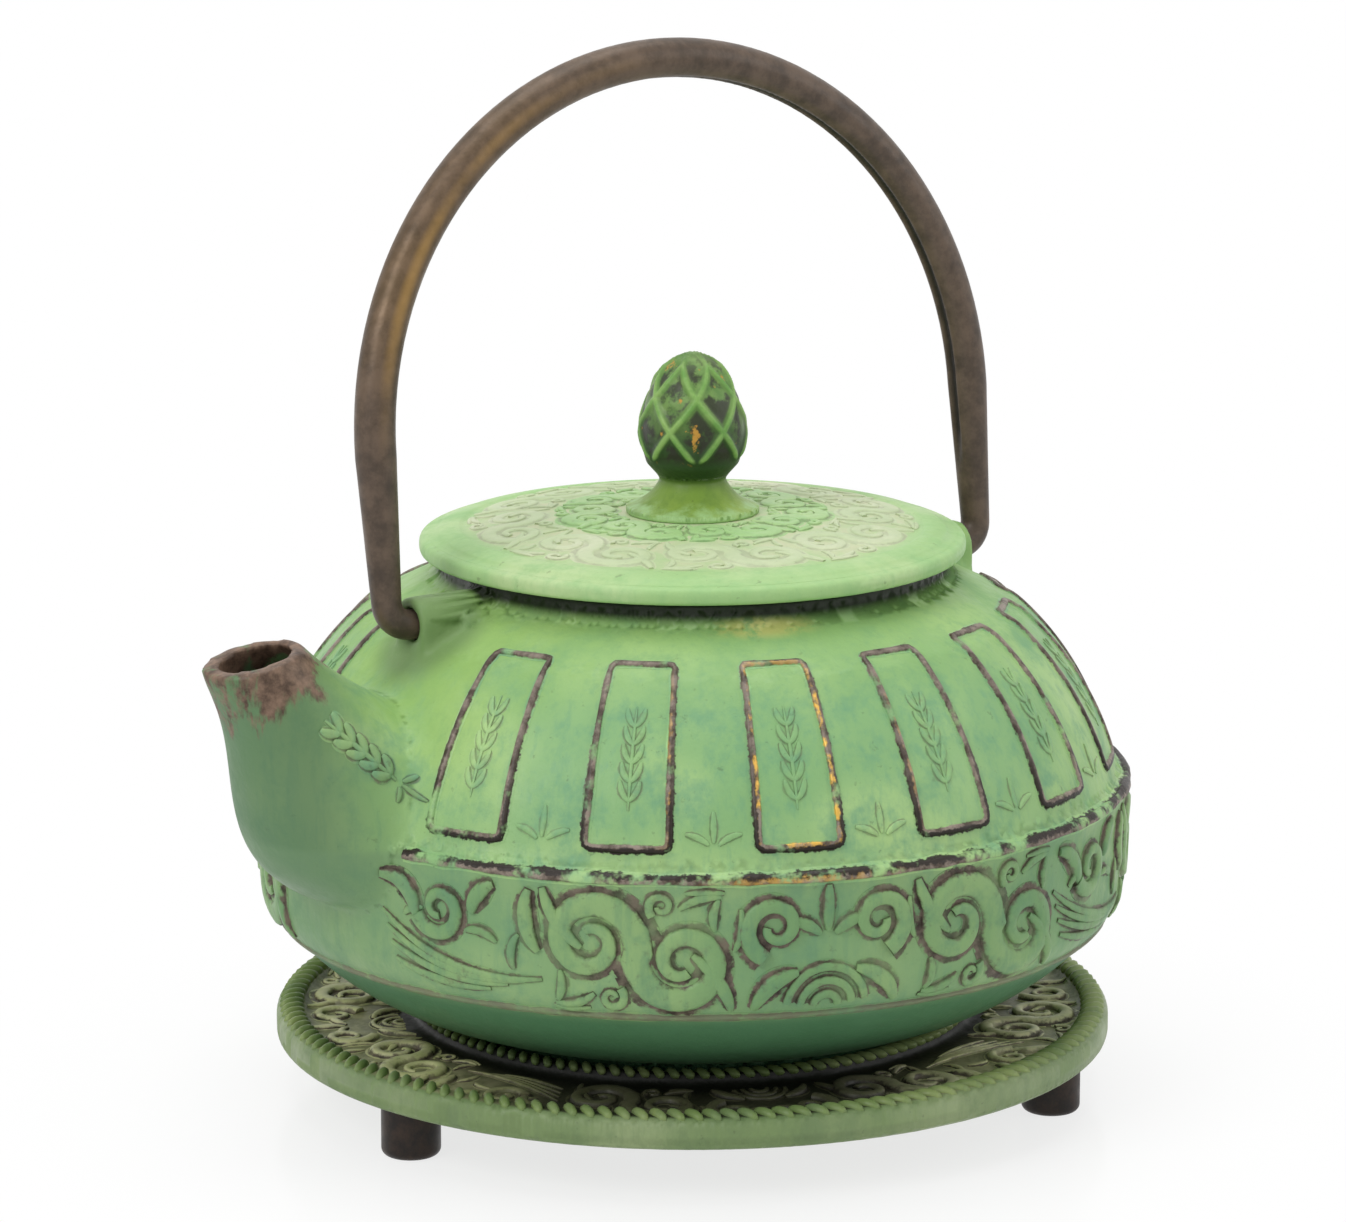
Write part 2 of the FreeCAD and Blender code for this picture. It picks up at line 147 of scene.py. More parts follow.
def normals_of(piece):
    flat = np.empty(len(piece.data.vertices) * 3, dtype=np.float32)
    piece.data.vertex_normals.foreach_get("vector", flat)
    return flat.reshape(-1, 3)


def put_corners(piece, corners):
    piece.data.vertices.foreach_set("co", np.ascontiguousarray(corners).ravel())
    piece.data.update()


def keep_number(piece, name, values):
    kept = piece.data.attributes.new(name, "FLOAT", "POINT")
    kept.data.foreach_set("value", np.ascontiguousarray(values, dtype=np.float32))


def group(piece, name, weights):
    """A vertex group that holds one weight for every vertex."""
    made = piece.vertex_groups.new(name=name)
    for index, weight in enumerate(weights):
        made.add([index], float(weight), "REPLACE")
    return name


print("vertices in the frame's pot:", len(corners_of(frame["nodes"]["pot_body"])))

# %% [markdown]
# ## Colours and nodes
# Finishes are written as the hex colours a paint chart would give, and one function turns them into
# the linear light that shaders use. Two more feed a node's inputs and add a node, giving back an
# output, so a finish reads from top to bottom as coats are laid.

# %% Colours and nodes
def paint(hex_colour):
    """sRGB hex to linear RGBA."""
    channels = [int(hex_colour[i:i + 2], 16) / 255 for i in (1, 3, 5)]
    linear = [c / 12.92 if c <= 0.04045 else ((c + 0.055) / 1.055) ** 2.4 for c in channels]
    return (*linear, 1.0)


def feed(tree, node, inputs):
    """Set or link inputs, in a row or by key: a value, a hex colour or another node's output."""
    for key, value in inputs.items() if isinstance(inputs, dict) else enumerate(inputs):
        if isinstance(value, bpy.types.NodeSocket):
            tree.links.new(value, node.inputs[key])
        else:
            node.inputs[key].default_value = paint(value) if isinstance(value, str) else value


def add(tree, kind, inputs=(), out=0, **settings):
    """Add a node with its settings, feed its inputs and give back one of its outputs."""
    made = tree.nodes.new("ShaderNode" + kind)
    for key, value in settings.items():
        setattr(made, key, value)
    feed(tree, made, inputs)
    return made.outputs[out]


COLOUR = {"out": 2, "data_type": "RGBA"}
SOFT = {"interpolation_type": "SMOOTHSTEP"}
TIMES = {"operation": "MULTIPLY"}
SHADER = "Principled BSDF"


def blank(name):
    """A material with only its shader, and the piece's own coordinates."""
    material = bpy.data.materials.new(name)
    material.use_nodes = True
    return material, material.node_tree, add(material.node_tree, "TexCoord", out="Object")


print("mixing settings:", COLOUR, SOFT)

# %% [markdown]
# ## The green patina
# On the real pot a thin green coat was brushed over dark iron and rubbed while wet. It is yellower
# and paler high on the shoulder and the lid, partly where the brush ended and partly as painted
# light where the top faces the lamps, and darker low down, a deep sea green that is partly painted
# shade. Sand from the mould left a fine grain, and small pits where the dark metal shows. Everything
# that varies does so in patches of a real size; rubbing is strongest near the spots hands touch, and
# painted shade and highlights gather round spots of their own.

# %% The green patina
PATCH, MOTTLE, HOLLOWS, STREAK, PIT, SAND = 38 * MM, 9 * MM, 7 * MM, 2.4 * MM, 2.0 * MM, 0.9 * MM
# The deep tone, laid low down, is partly the patina's own colour and partly painted shade.
GREENS = {"leaf": "#86B177", "pale": "#A8CA86", "cool": "#63987A", "deep": "#0B6540"}


def patches(tree, place, size, low, high, share=1.0, rest=0.0, detail=4.0):
    """Patches about this size across, with a share inside them and another in the rest."""
    noise = add(tree, "TexNoise", {"Vector": place, "Scale": 1 / size, "Detail": detail, "Roughness": 0.65})
    return add(tree, "MapRange", (noise, low, high, rest, share), **SOFT)


def blotched(tree, place, size, low, high, first, second):
    """Two tones that meet in patches about this size across."""
    share = patches(tree, place, size, low, high)
    return add(tree, "Mix", {0: share, 6: first, 7: second}, **COLOUR)


def fade_from_spot(tree, place, spot, close, far, share):
    """A share that fades with the distance from a spot; it places rubbed wear, painted shade and painted
    highlights.
    """
    away = add(tree, "VectorMath", (place, spot), "Value", operation="DISTANCE")
    return add(tree, "MapRange", (away, close, far, share, 0.0), **SOFT)


def ringed(tree, place, close, far, share):
    """A share that fades with the distance from the pot's axis."""
    flat = add(tree, "VectorMath", (place, (1, 1, 0)), **TIMES)
    return fade_from_spot(tree, flat, AXIS, close, far, share)


def graded(tree, place, start, end, first=0.0, last=1.0, axis="Z"):
    """A share that changes between two heights, or along another axis."""
    along = add(tree, "SeparateXYZ", (place,), axis)
    return add(tree, "MapRange", (along, start, end, first, last), **SOFT)


def patina_colour(tree, place, tones, deep_top):
    """Brushed green, paler in patches and deep below a height, partly as painted shade, with dark pits."""
    brushed = add(tree, "Mapping", {"Vector": place, "Scale": (1, 1, 0.2)})
    # Darker below a height: partly the patina's tone, partly painted shade.
    low = graded(tree, place, deep_top - 5 * MM, deep_top, 1.0, 0.0)
    colour = tones["leaf"]
    for share, tone in ((patches(tree, place, PATCH, 0.40, 0.66, detail=2.0), tones["pale"]),
                        (patches(tree, brushed, STREAK, 0.45, 0.72, 0.40), tones["cool"]),
                        (patches(tree, place, MOTTLE, 0.46, 0.72, 0.62, detail=5.0), tones["cool"]),
                        (low, tones["deep"]), (patches(tree, place, PIT, 0.64, 0.72, 0.35), "#4A523C")):
        colour = add(tree, "Mix", {0: share, 6: colour, 7: tone}, **COLOUR)
    return colour


def finish_skin(material, place, colour, smooth, rough, strength=0.28, metal=0.0):
    """Give a colour, a sheen that wanders between two roughnesses, sand grain and slow hollows."""
    tree = material.node_tree
    sheen = patches(tree, place, MOTTLE, 0.3, 0.7, rough, smooth)
    sand = add(tree, "TexNoise", {"Vector": place, "Scale": 1 / SAND, "Detail": 2.0})
    hollows = add(tree, "TexNoise", {"Vector": place, "Scale": 1 / HOLLOWS, "Detail": 2.0})
    fine = add(tree, "Bump", {"Strength": strength, "Distance": 0.25 * MM, "Height": sand})
    slow = add(tree, "Bump", {"Strength": strength, "Distance": 0.9 * MM, "Height": hollows, "Normal": fine})
    feed(tree, tree.nodes[SHADER], {"Base Color": colour, "Metallic": metal, "Roughness": sheen,
                                    "Specular IOR Level": 0.28, "Normal": slow})
    return material


print("patina tones:", GREENS)

# %% [markdown]
# ## Softening the castings
# Molten iron doesn't fill a sharp corner, and the founder files off what is left. The solids are
# therefore run together as one lump of small voxels and smoothed a little, which rounds every edge
# by about a millimetre. The ears round the bail's hooks are filed crisper, so they are smoothed less.

# %% Softening the castings
EAR_HALF, EAR_DROP, EAR_FROM = 9 * MM, 8 * MM, 50 * MM


def lump(name, nodes, voxel):
    """Copies of the nodes' solids, run together as one mesh of small even faces."""
    piece = join(name, [new_piece(name, frame["nodes"][node].data.copy()) for node in nodes])
    piece.data.remesh_voxel_size = voxel
    bpy.ops.object.voxel_remesh()
    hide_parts(*nodes)
    return piece


def soften(piece, passes, weights=None):
    named = group(piece, "soft", weights) if weights is not None else ""
    modify(piece, "SMOOTH", factor=0.5, iterations=passes, vertex_group=named)
    bpy.ops.object.shade_smooth()


def skin_of(piece):
    return BVHTree.FromObject(piece, bpy.context.evaluated_depsgraph_get())


pot = lump("pot_casting", ["pot_body", "pot_spout"], 1.0 * MM)
corners = corners_of(pot)
ears = (np.abs(corners[:, 1]) < EAR_HALF) & (corners[:, 2] > HINGE.z - EAR_DROP)
ears &= np.abs(corners[:, 0] - AXIS.x) > EAR_FROM
soften(pot, 10, np.where(ears, 0.5, 1.0))
print("pot casting:", len(pot.data.vertices), "vertices,", int(ears.sum()), "of them on the ears")

# %% [markdown]
# The neck is the one place that is turned true on a lathe, so that the lid sits flush. In thin layers
# of height, every vertex there takes the mean radius of its layer, except on the ears.

# %% The neck turned true
LAYER = 0.25 * MM
NECK_LOW, NECK_HIGH = pot_high.z - 8 * MM, pot_high.z - 0.6 * MM
NECK_IN, NECK_OUT, EAR_CLEAR = 46 * MM, 57 * MM, 13 * MM
corners = corners_of(pot)
radius = np.hypot(corners[:, 0] - AXIS.x, corners[:, 1])
neck = (corners[:, 2] > NECK_LOW) & (corners[:, 2] < NECK_HIGH)
neck &= (radius > NECK_IN) & (radius < NECK_OUT) & (np.abs(corners[:, 1]) > EAR_CLEAR)
layers = np.round(corners[neck, 2] / LAYER).astype(int)
count = np.bincount(layers)
filled = count > 0
mean_height, mean_radius = (np.bincount(layers, values)[filled] / count[filled]
                            for values in (corners[neck, 2], radius[neck]))
true = np.interp(corners[neck, 2], mean_height, mean_radius)
corners[neck, :2] = (AXIS.x, 0) + (corners[neck, :2] - (AXIS.x, 0)) * (true / radius[neck])[:, None]
put_corners(pot, corners)
print("neck turned true in", int(filled.sum()), "layers")

# %% [markdown]
# The spout was joined to the bowl in the pattern with a wide thumb-smoothed fillet. Only the vertices
# near that joint are smoothed again, many times over, so that the rest keeps its shape. The small even
# faces have then done their work, and nearly half of them are merged away, but none at the neck.

# %% The fillet at the spout's root
FILLET_NEAR, FILLET_FAR, FILLET_FROM = 11 * MM, 25 * MM, 50 * MM
ROOT = AXIS + Vector((-79 * MM, 0, 76 * MM))
corners = corners_of(pot)
away = np.hypot(corners[:, 0] - ROOT.x, corners[:, 2] - ROOT.z)
weights = np.clip((FILLET_FAR - away) / (FILLET_FAR - FILLET_NEAR), 0, 1)
weights[corners[:, 0] > AXIS.x - FILLET_FROM] = 0
modify(pot, "SMOOTH", factor=0.5, iterations=30, vertex_group=group(pot, "fillet", weights))
modify(pot, "DECIMATE", ratio=0.52, vertex_group=group(pot, "merged", ~neck))
bpy.ops.object.shade_smooth()
print("fillet smoothed on", int((weights > 0).sum()), "vertices, thinned to", len(pot.data.polygons), "faces")

# %% [markdown]
# Inside, such pots are coated with dark enamel. A face lies inside if it looks towards the middle of
# the bowl and a ray along its normal soon meets another wall; in the spout that wall is close by.

# %% The dark inside
BOWL_MIDDLE = polar(0, 0, pot_low.z + 45 * MM)
BORE_REACH, SPOUT_FROM = 15 * MM, AXIS.x - 62 * MM


def is_inside(skin, spot, normal):
    if (BOWL_MIDDLE - spot).dot(normal) < 0 and spot.x > SPOUT_FROM:
        return False
    reach = skin.ray_cast(spot + normal * 0.4 * MM, normal)[3]
    return reach is not None and (reach < BORE_REACH or spot.x > SPOUT_FROM)


pot_skin = skin_of(pot)
for face in pot.data.polygons:
    face.material_index = int(is_inside(pot_skin, face.center, face.normal))
print("faces inside:", sum(face.material_index for face in pot.data.polygons), "of", len(pot.data.polygons))

# %% [markdown]
# ## Worn lines and dark hollows
# The raised lines catch the cloth that rubs the pot down: their crests are grey bronze, with gold near
# a spot on the front, rubbed where a hand steadies the pot and also a painted highlight. Along the
# outer foot of each line runs a dark stain, heavier low down, that is also a painted shadow beside the
# line. Broad ribbons keep their green on top, and the stain fills the ground beside them. Each stroke
# carries two numbers for this: "relief", how high a spot stands, and "side", how far it lies from the
# middle line, in half widths, with plus on the left of the stroke.

# %% Worn lines and dark hollows
GOLD_AND_HIGHLIGHT_SPOT = polar(76 * MM, math.radians(248), 80 * MM)
# Painted shade on the front side reaches this far round its spot.
BARE_TOP, FRONT_SHADE_NEAR, FRONT_SHADE_FAR = 30 * MM, 26 * MM, 56 * MM


def worn_line(name, kept_low, kept_high):
    """Grey bronze crests, stain and painted shadow outside them and more of it low down, gold and painted
    highlight near the front spot.
    """
    material, tree, place = blank(name)
    green = patina_colour(tree, place, GREENS, BARE_TOP)
    rag = patches(tree, place, 1.3 * MM, 0.25, 0.75, 0.4, -0.4)
    numbers = (add(tree, "Attribute", attribute_name=kept, out="Fac") for kept in ("relief", "side"))
    relief, side = (add(tree, "Math", (number, rag), operation="ADD") for number in numbers)
    # Painted shadow with stain: dark along the outer foot of each line, heavier low down.
    low = graded(tree, place, 66 * MM, 88 * MM, 1.0, 0.2)
    outside = add(tree, "MapRange", (side, -0.15, 0.35, 1.0, 0.0), **SOFT)
    stain = add(tree, "Math", (outside, low), **TIMES)
    inner = add(tree, "MapRange", (side, -0.3, 0.2), **SOFT)
    # Gold near the front spot: rubbed gold that is also a painted highlight.
    gold = add(tree, "Math", (patches(tree, place, 5 * MM, 0.42, 0.56), inner), **TIMES)
    gold = add(tree, "Math", (gold, fade_from_spot(tree, place, GOLD_AND_HIGHLIGHT_SPOT, 14 * MM, 30 * MM, 1.0)), **TIMES)
    rubbed = patches(tree, place, 8 * MM, kept_low, kept_high)
    foot = add(tree, "MapRange", (relief, 0.05, 0.3, 1.0, 0.0), **SOFT)
    foot = add(tree, "Math", (foot, add(tree, "Math", (1.0, stain), operation="SUBTRACT")), **TIMES)
    edge = add(tree, "MapRange", (add(tree, "Math", (side,), operation="ABSOLUTE"), 1.1, 1.5), **SOFT)
    colour = blotched(tree, place, 3.2 * MM, 0.35, 0.65, "#4A3E34", "#94877B")
    for share, tone in ((stain, "#241C16"), (gold, "#DDB053"), (rubbed, green), (foot, green), (edge, green)):
        colour = add(tree, "Mix", {0: share, 6: colour, 7: tone}, **COLOUR)
    metal = add(tree, "Math", (gold, 0.5), **TIMES)
    return finish_skin(material, place, colour, 0.36, 0.52, 0.5, metal)


def ribbon(name, tones, stain, top_from, top_to, reach, strength=1.0, deep_top=BARE_TOP, front_shade_spot=None):
    """Green on top; stain beside it, ragged, out to so many half widths, and painted shade near a spot on the
    front side.
    """
    material, tree, place = blank(name)
    relief, side = (add(tree, "Attribute", attribute_name=kept, out="Fac") for kept in ("relief", "side"))
    rag = patches(tree, place, 2.2 * MM, 0.25, 0.75, 0.35, -0.35)
    ragged = add(tree, "Math", (relief, rag), operation="ADD")
    top = add(tree, "MapRange", (ragged, top_from, top_to, strength, 0.0), **SOFT)
    out = add(tree, "Math", (add(tree, "Math", (side,), operation="ABSOLUTE"), rag), operation="ADD")
    out = add(tree, "MapRange", (out, reach - 0.2, reach + 0.2, 1.0, 0.0), **SOFT)
    share = add(tree, "Math", (top, out), **TIMES)
    share = add(tree, "Math", (share, patches(tree, place, 16 * MM, 0.36, 0.56, 1.0, 0.5)), **TIMES)
    green = patina_colour(tree, place, tones, deep_top)
    dark = blotched(tree, place, 3 * MM, 0.3, 0.7, stain, "#756A5C")
    colour = add(tree, "Mix", {0: share, 6: green, 7: dark}, **COLOUR)
    # Painted shade round a spot on the front side, nearly black.
    if front_shade_spot:
        front_shade = fade_from_spot(tree, place, front_shade_spot, FRONT_SHADE_NEAR, FRONT_SHADE_FAR, 0.88)
        colour = add(tree, "Mix", {0: front_shade, 6: colour, 7: "#14160F"}, **COLOUR)
    return finish_skin(material, place, colour, 0.40, 0.56)


frame_bronze = worn_line("rubbed_bronze_frame_lines", 0.54, 0.68)
band_bronze = worn_line("rubbed_bronze_band_lines", 0.50, 0.62)
# Darker greens for the band's scrolls, painted shade like the band's wall.
BAND_GREENS = {**GREENS, "leaf": "#739A67", "pale": "#8CAD73", "cool": "#5A8668"}
ribbon_green = ribbon("green_ribbon_dark_ground", BAND_GREENS, "#332A23", 0.3, 0.85, 1.6)
leaf_green = ribbon("green_leaf_dark_ground", BAND_GREENS, "#3A3129", 0.35, 0.95, 1.5, 0.9)
print("line finishes:", frame_bronze.name, band_bronze.name, ribbon_green.name, leaf_green.name)

# %% [markdown]
# ## Drawing the ornament
# A pattern maker presses scrolls into the mould from carved stamps. Here each scroll is drawn once
# on a flat sheet, in millimetres, as a line with a width. Three simple shapes are enough: a ribbon
# that winds into a spiral, a leaf that bends as it goes, and an arch. Two spirals that start at one
# point make the long S that carries the pattern.

# %% Drawing the ornament
def spiral(x, y, outer, inner, start, turns, wide, thin, steps=48):
    """Ribbon that winds in from its outer radius, clockwise if its turns are negative."""
    way = np.linspace(0, 1, steps)
    angle = np.radians(start + 360 * turns * way)
    radius = outer + (inner - outer) * way ** 0.8
    half = (wide + (thin - wide) * way) / 2
    return np.stack([x + radius * np.cos(angle), y + radius * np.sin(angle), half], 1)


def leaf(x, y, heading, length, bend, wide, steps=14):
    """Short ribbon, full in the middle, that bends as it goes."""
    way = np.linspace(0, 1, steps)
    angle = np.radians(heading + bend * way)
    step = length / (steps - 1)
    across = x + step * np.concatenate([[0], np.cumsum(np.cos(angle[:-1]))])
    up = y + step * np.concatenate([[0], np.cumsum(np.sin(angle[:-1]))])
    half = wide / 2 * (0.3 + 0.7 * np.sin(np.pi * (0.03 + 0.94 * way)) ** 0.7)
    return np.stack([across, up, half], 1)


def arch(x, y, radius, wide, steps=20):
    angle = np.radians(np.linspace(8, 172, steps))
    return np.stack([x + radius * np.cos(angle), y + radius * np.sin(angle), np.full(steps, wide / 2)], 1)


def palmette(x, y, heading, size):
    """Three leaves that spread from a small gap at their root."""
    leaves = []
    for turn, share, bend in ((0, 1, 0), (46, 0.8, 40), (-46, 0.8, -40)):
        angle = math.radians(heading + turn)
        root = (x + size * 0.22 * math.cos(angle), y + size * 0.22 * math.sin(angle))
        leaves.append(leaf(*root, heading + turn, size * share, bend, size * 0.26))
    return leaves


def long_s(reach, drop, outer, wide, thin):
    """Two spirals wound the same way that meet in the middle."""
    left = spiral(-reach, drop, outer, 2.2, -10, 1.35, wide, thin)
    right = spiral(reach, -drop, outer, 2.2, 170, 1.35, wide, thin)
    return np.concatenate([left[::-1], right[1:]])


def moved(strokes, across, up=0.0, wide=1.0, tall=1.0, thick=1.0):
    """Copies of strokes, stretched and then shifted."""
    return [stroke * (wide, tall, thick) + (across, up, 0) for stroke in strokes]


CELL = 34.3
wave = [long_s(8.3, 1.6, 8.8, 5.2, 1.8),
        leaf(-17.0, 11.0, -75, 13, 40, 2.6), leaf(17.0, -11.0, 105, 13, 40, 2.6)]
wave_leaves = [spiral(4.4, 8.6, 2.5, 0.8, 230, -1.1, 1.7, 1.0, 24),
               spiral(-4.4, -8.6, 2.5, 0.8, 50, -1.1, 1.7, 1.0, 24),
               leaf(7.6, 8.0, 40, 8, -50, 1.7), leaf(-7.6, -8.0, 220, 8, -50, 1.7),
               leaf(8.6, 10.9, 8, 7, -16, 1.3), leaf(-8.6, -10.9, 188, 7, -16, 1.3),
               leaf(-14.6, -9.8, 60, 6, 50, 1.7), leaf(14.6, 9.8, 240, 6, 50, 1.7)]
fan = [spiral(-9.6, 4.4, 6.0, 1.5, 250, -1.2, 3.4, 1.5), spiral(9.6, 4.4, 6.0, 1.5, 290, 1.2, 3.4, 1.5),
       leaf(-13.4, -10.8, 70, 11, -65, 3.0), leaf(13.4, -10.8, 110, 11, 65, 3.0)]
fan_leaves = [*(arch(0, -10.8, radius, 1.6) for radius in (2.4, 4.9, 7.4)), *palmette(0, 1.4, 90, 8.6),
              leaf(-15.8, 8.0, -80, 8, -40, 1.6), leaf(15.8, 8.0, 260, 8, 40, 1.6)]
curl = [spiral(-3.4, 4.6, 5.4, 1.4, 200, 1.2, 3.2, 1.4), leaf(-15.5, 9.6, -10, 11, -80, 3.2),
        leaf(8.0, 10.6, -160, 8, 70, 3.0), leaf(14.8, 10.4, -110, 12, 60, 3.0)]
curl_leaves = [*(leaf(-17 + line, 2.4 - 2.9 * line, -36 + 6 * line, 36 - 5 * line, 46 - 8 * line, 1.6, 24)
                 for line in range(4)),
               leaf(1.8, 1.2, 20, 7, -70, 1.7), leaf(12.6, 1.8, -130, 7, 70, 1.7),
               leaf(-11.6, 2.2, 50, 5, -60, 1.6)]
print("strokes in a wave cell:", len(wave + wave_leaves), "in a fan cell:", len(fan + fan_leaves),
      "in a curl cell:", len(curl + curl_leaves))

# %% [markdown]
# ## Laying the ornament on iron
# Each flat stroke becomes a curve bevelled by one profile, a flat-backed ribbon with a thin skirt for
# the stain. The curves are converted to meshes, and each vertex is laid where a ray meets the
# casting and lifted along its normal, so the ornament follows every curve of the wall.

# %% Laying the ornament on iron
GREEN_IRON = "green_patina_iron"
FAR, CREASE = 300 * MM, math.radians(50)
FLAT_BACK = ((-1.75, -0.4), (-1.75, 0.07), (-1.05, 0.13), (-0.94, 0.6), (-0.68, 0.94), (0, 1),
             (0.68, 0.94), (0.94, 0.6), (1.05, 0.13), (1.75, 0.07), (1.75, -0.4))


def flat_curve(name, stroke, closed):
    """Curve data on a flat sheet; a stroke's point is x, y and half width."""
    data = bpy.data.curves.new(name, "CURVE")
    data.dimensions, data.fill_mode = "2D", "NONE"
    spline = data.splines.new("POLY")
    spline.points.add(len(stroke) - 1)
    for point, (x, y, half) in zip(spline.points, stroke):
        point.co, point.radius = (x, y, 0, 1), half
    spline.use_cyclic_u = closed
    return data


def lay_one(piece, stroke, rise, where, closed):
    """Move a flat ribbon's vertices onto a casting, and keep how high and how far aside each lies."""
    corners = corners_of(piece)
    near = ((corners[:, None, :2] - stroke[None, :, :2]) ** 2).sum(2).argmin(1)
    middle, half = stroke[near, :2], stroke[near, 2]
    ahead = np.roll(stroke, -1, 0) - np.roll(stroke, 1, 0) if closed else np.gradient(stroke, axis=0)
    left = np.stack([-ahead[:, 1], ahead[:, 0]], 1)[near]
    left /= np.linalg.norm(left, axis=1)[:, None]
    share = np.minimum(1, corners[:, 2] / half)
    keep_number(piece, "side", ((corners[:, :2] - middle) * left).sum(1) / half)
    keep_number(piece, "relief", np.maximum(0, share))
    lift = share * np.minimum(rise, half)
    for index, (x, y, _) in enumerate(corners):
        spot, normal = where(x, y)
        corners[index] = spot + normal * lift[index]
    put_corners(piece, corners)


def lay(name, strokes, rise, where, body, finish, closed=False):
    """Strokes in millimetres, raised to one height, laid on a casting and dressed as its green iron."""
    profile = new_piece("profile", flat_curve("profile", [(x, y, 1) for x, y in FLAT_BACK], True))
    pieces = []
    for stroke in strokes:
        sheet = flat_curve(name, stroke * MM, closed)
        sheet.bevel_mode, sheet.bevel_object, sheet.use_fill_caps = "OBJECT", profile, not closed
        pieces.append(new_piece(name, sheet))
    pick(*pieces)
    bpy.ops.object.convert(target="MESH")
    bpy.data.objects.remove(profile)
    for piece, stroke in zip(pieces, strokes):
        lay_one(piece, stroke * MM, rise, where, closed)
    made = join(name, pieces)
    bpy.ops.object.shade_smooth_by_angle(angle=CREASE)
    dress(made, body, GREEN_IRON, finish)


def on_wall(skin, radius, height):
    """Where the sheet's x runs round a wall of this radius and its y runs up from this height."""
    def where(x, y):
        angle = SPOUT_ANGLE + x / radius
        start, end = polar(FAR, angle, height + y), polar(0, angle, height + y)
        return skin.ray_cast(start, (end - start).normalized())[:2]
    return where


def on_top(skin, radius):
    """Where the sheet's x runs round a plate and its y runs out from this radius."""
    def where(x, y):
        start = polar(radius + y, SPOUT_ANGLE - x / radius, FAR)
        return skin.ray_cast(start, Vector((0, 0, -1)))[:2]
    return where


def on_slope(skin, radius, low, high):
    """Like a wall, but with y measured along the slope, so that a line keeps its width up there."""
    heights = np.linspace(low, high, 90)
    profile = [skin.ray_cast(polar(FAR, math.pi / 2, height), Vector((0, -1, 0)))[0] for height in heights]
    steps = [(upper - lower).length for lower, upper in zip(profile, profile[1:])]
    climb = low + np.concatenate([[0], np.cumsum(steps)])
    wall = on_wall(skin, radius, 0)
    return (lambda x, y: wall(x, np.interp(y, climb, heights)),
            lambda height: np.interp(height, heights, climb))


print("a ribbon's profile has", len(FLAT_BACK), "points")

# %% [markdown]
# ## The band of scrolls
# Round the widest part runs a band of scrolls: a long S, and between two of them a fan or a curl over
# wave lines. Fifteen cells would close the ring, and the spout takes the place of one, so the band
# starts and ends beside it. The leaves are laid lower than the ribbons.

# %% The band of scrolls
BAND_RADIUS, BAND_HEIGHT, CELLS = 81.8 * MM, 47.6 * MM, 14
band_wall = on_wall(pot_skin, BAND_RADIUS, BAND_HEIGHT)
ribbons, leaves = [], []
for cell in range(CELLS):
    bold, fine = ((curl, curl_leaves), (wave, wave_leaves), (fan, fan_leaves), (wave, wave_leaves))[cell % 4]
    ribbons += moved(bold, CELL * (cell + 1))
    leaves += moved(fine, CELL * (cell + 1))
lay("band_scroll_ribbons", ribbons, 1.1 * MM, band_wall, "pot", ribbon_green)
lay("band_scroll_leaves", leaves, 0.75 * MM, band_wall, "pot", leaf_green)

# %% [markdown]
# ## Band lines and panel frames
# Two raised lines close the band, and a ring of upright frames stands on the shoulder above it, with a
# place left free for the spout and one for the rear ear. They were cut by hand in the mould, so their
# width wavers; a seeded generator gives the same waver each time. The frames lie low enough for the
# bail's legs to pass over the two beside the ears.

# %% Band lines and panel frames
waver = np.random.default_rng(11)


def wavering(across, up, wide, share):
    """A line whose width wanders by a share, in runs of a few points."""
    knots = np.arange(0, len(across) + 6, 3)
    wander = np.interp(np.arange(len(across)), knots, waver.uniform(1 - share, 1 + share, len(knots)))
    return np.stack([across, up, wide / 2 * wander], 1)


def frame_line(middle, half_wide, low, high, wide):
    """Closed upright frame with small round corners, drawn to the left."""
    corner, quarter, points = 1.1, np.radians(np.linspace(0, 90, 5)), []
    for turn, (x, y) in enumerate(((1, 1), (-1, 1), (-1, -1), (1, -1))):
        centre = (middle + x * (half_wide - corner), (high - corner) if y > 0 else (low + corner))
        angle = quarter + turn * math.pi / 2
        points.append(np.stack([centre[0] + corner * np.cos(angle), centre[1] + corner * np.sin(angle)], 1))
    loop = np.concatenate(points + [points[0][:1]])
    along = np.concatenate([[0], np.cumsum(np.hypot(*np.diff(loop, axis=0).T))])
    spots = np.linspace(0, along[-1], 90)[:-1]
    return wavering(np.interp(spots, along, loop[:, 0]), np.interp(spots, along, loop[:, 1]), wide, 0.15)


SHOULDER_RADIUS = 76 * MM
FRAMES, FRAME_START, FRAME_PITCH, BEHIND_EAR = 15, 24, 22.5, 7
FRAME_HALF, FRAME_LINE = 7.3, 1.35
shoulder, slope = on_slope(pot_skin, SHOULDER_RADIUS, 62 * MM, 97 * MM)
frame_low, frame_high = slope(65.6 * MM) / MM, slope(94.2 * MM) / MM
middles = [SHOULDER_RADIUS / MM * math.radians(FRAME_START + FRAME_PITCH * index)
           for index in range(FRAMES) if index != BEHIND_EAR]
frames = [frame_line(middle, FRAME_HALF, frame_low, frame_high, FRAME_LINE) for middle in middles]
lay("panel_frames", frames, 0.56 * MM, shoulder, "pot", frame_bronze, closed=True)

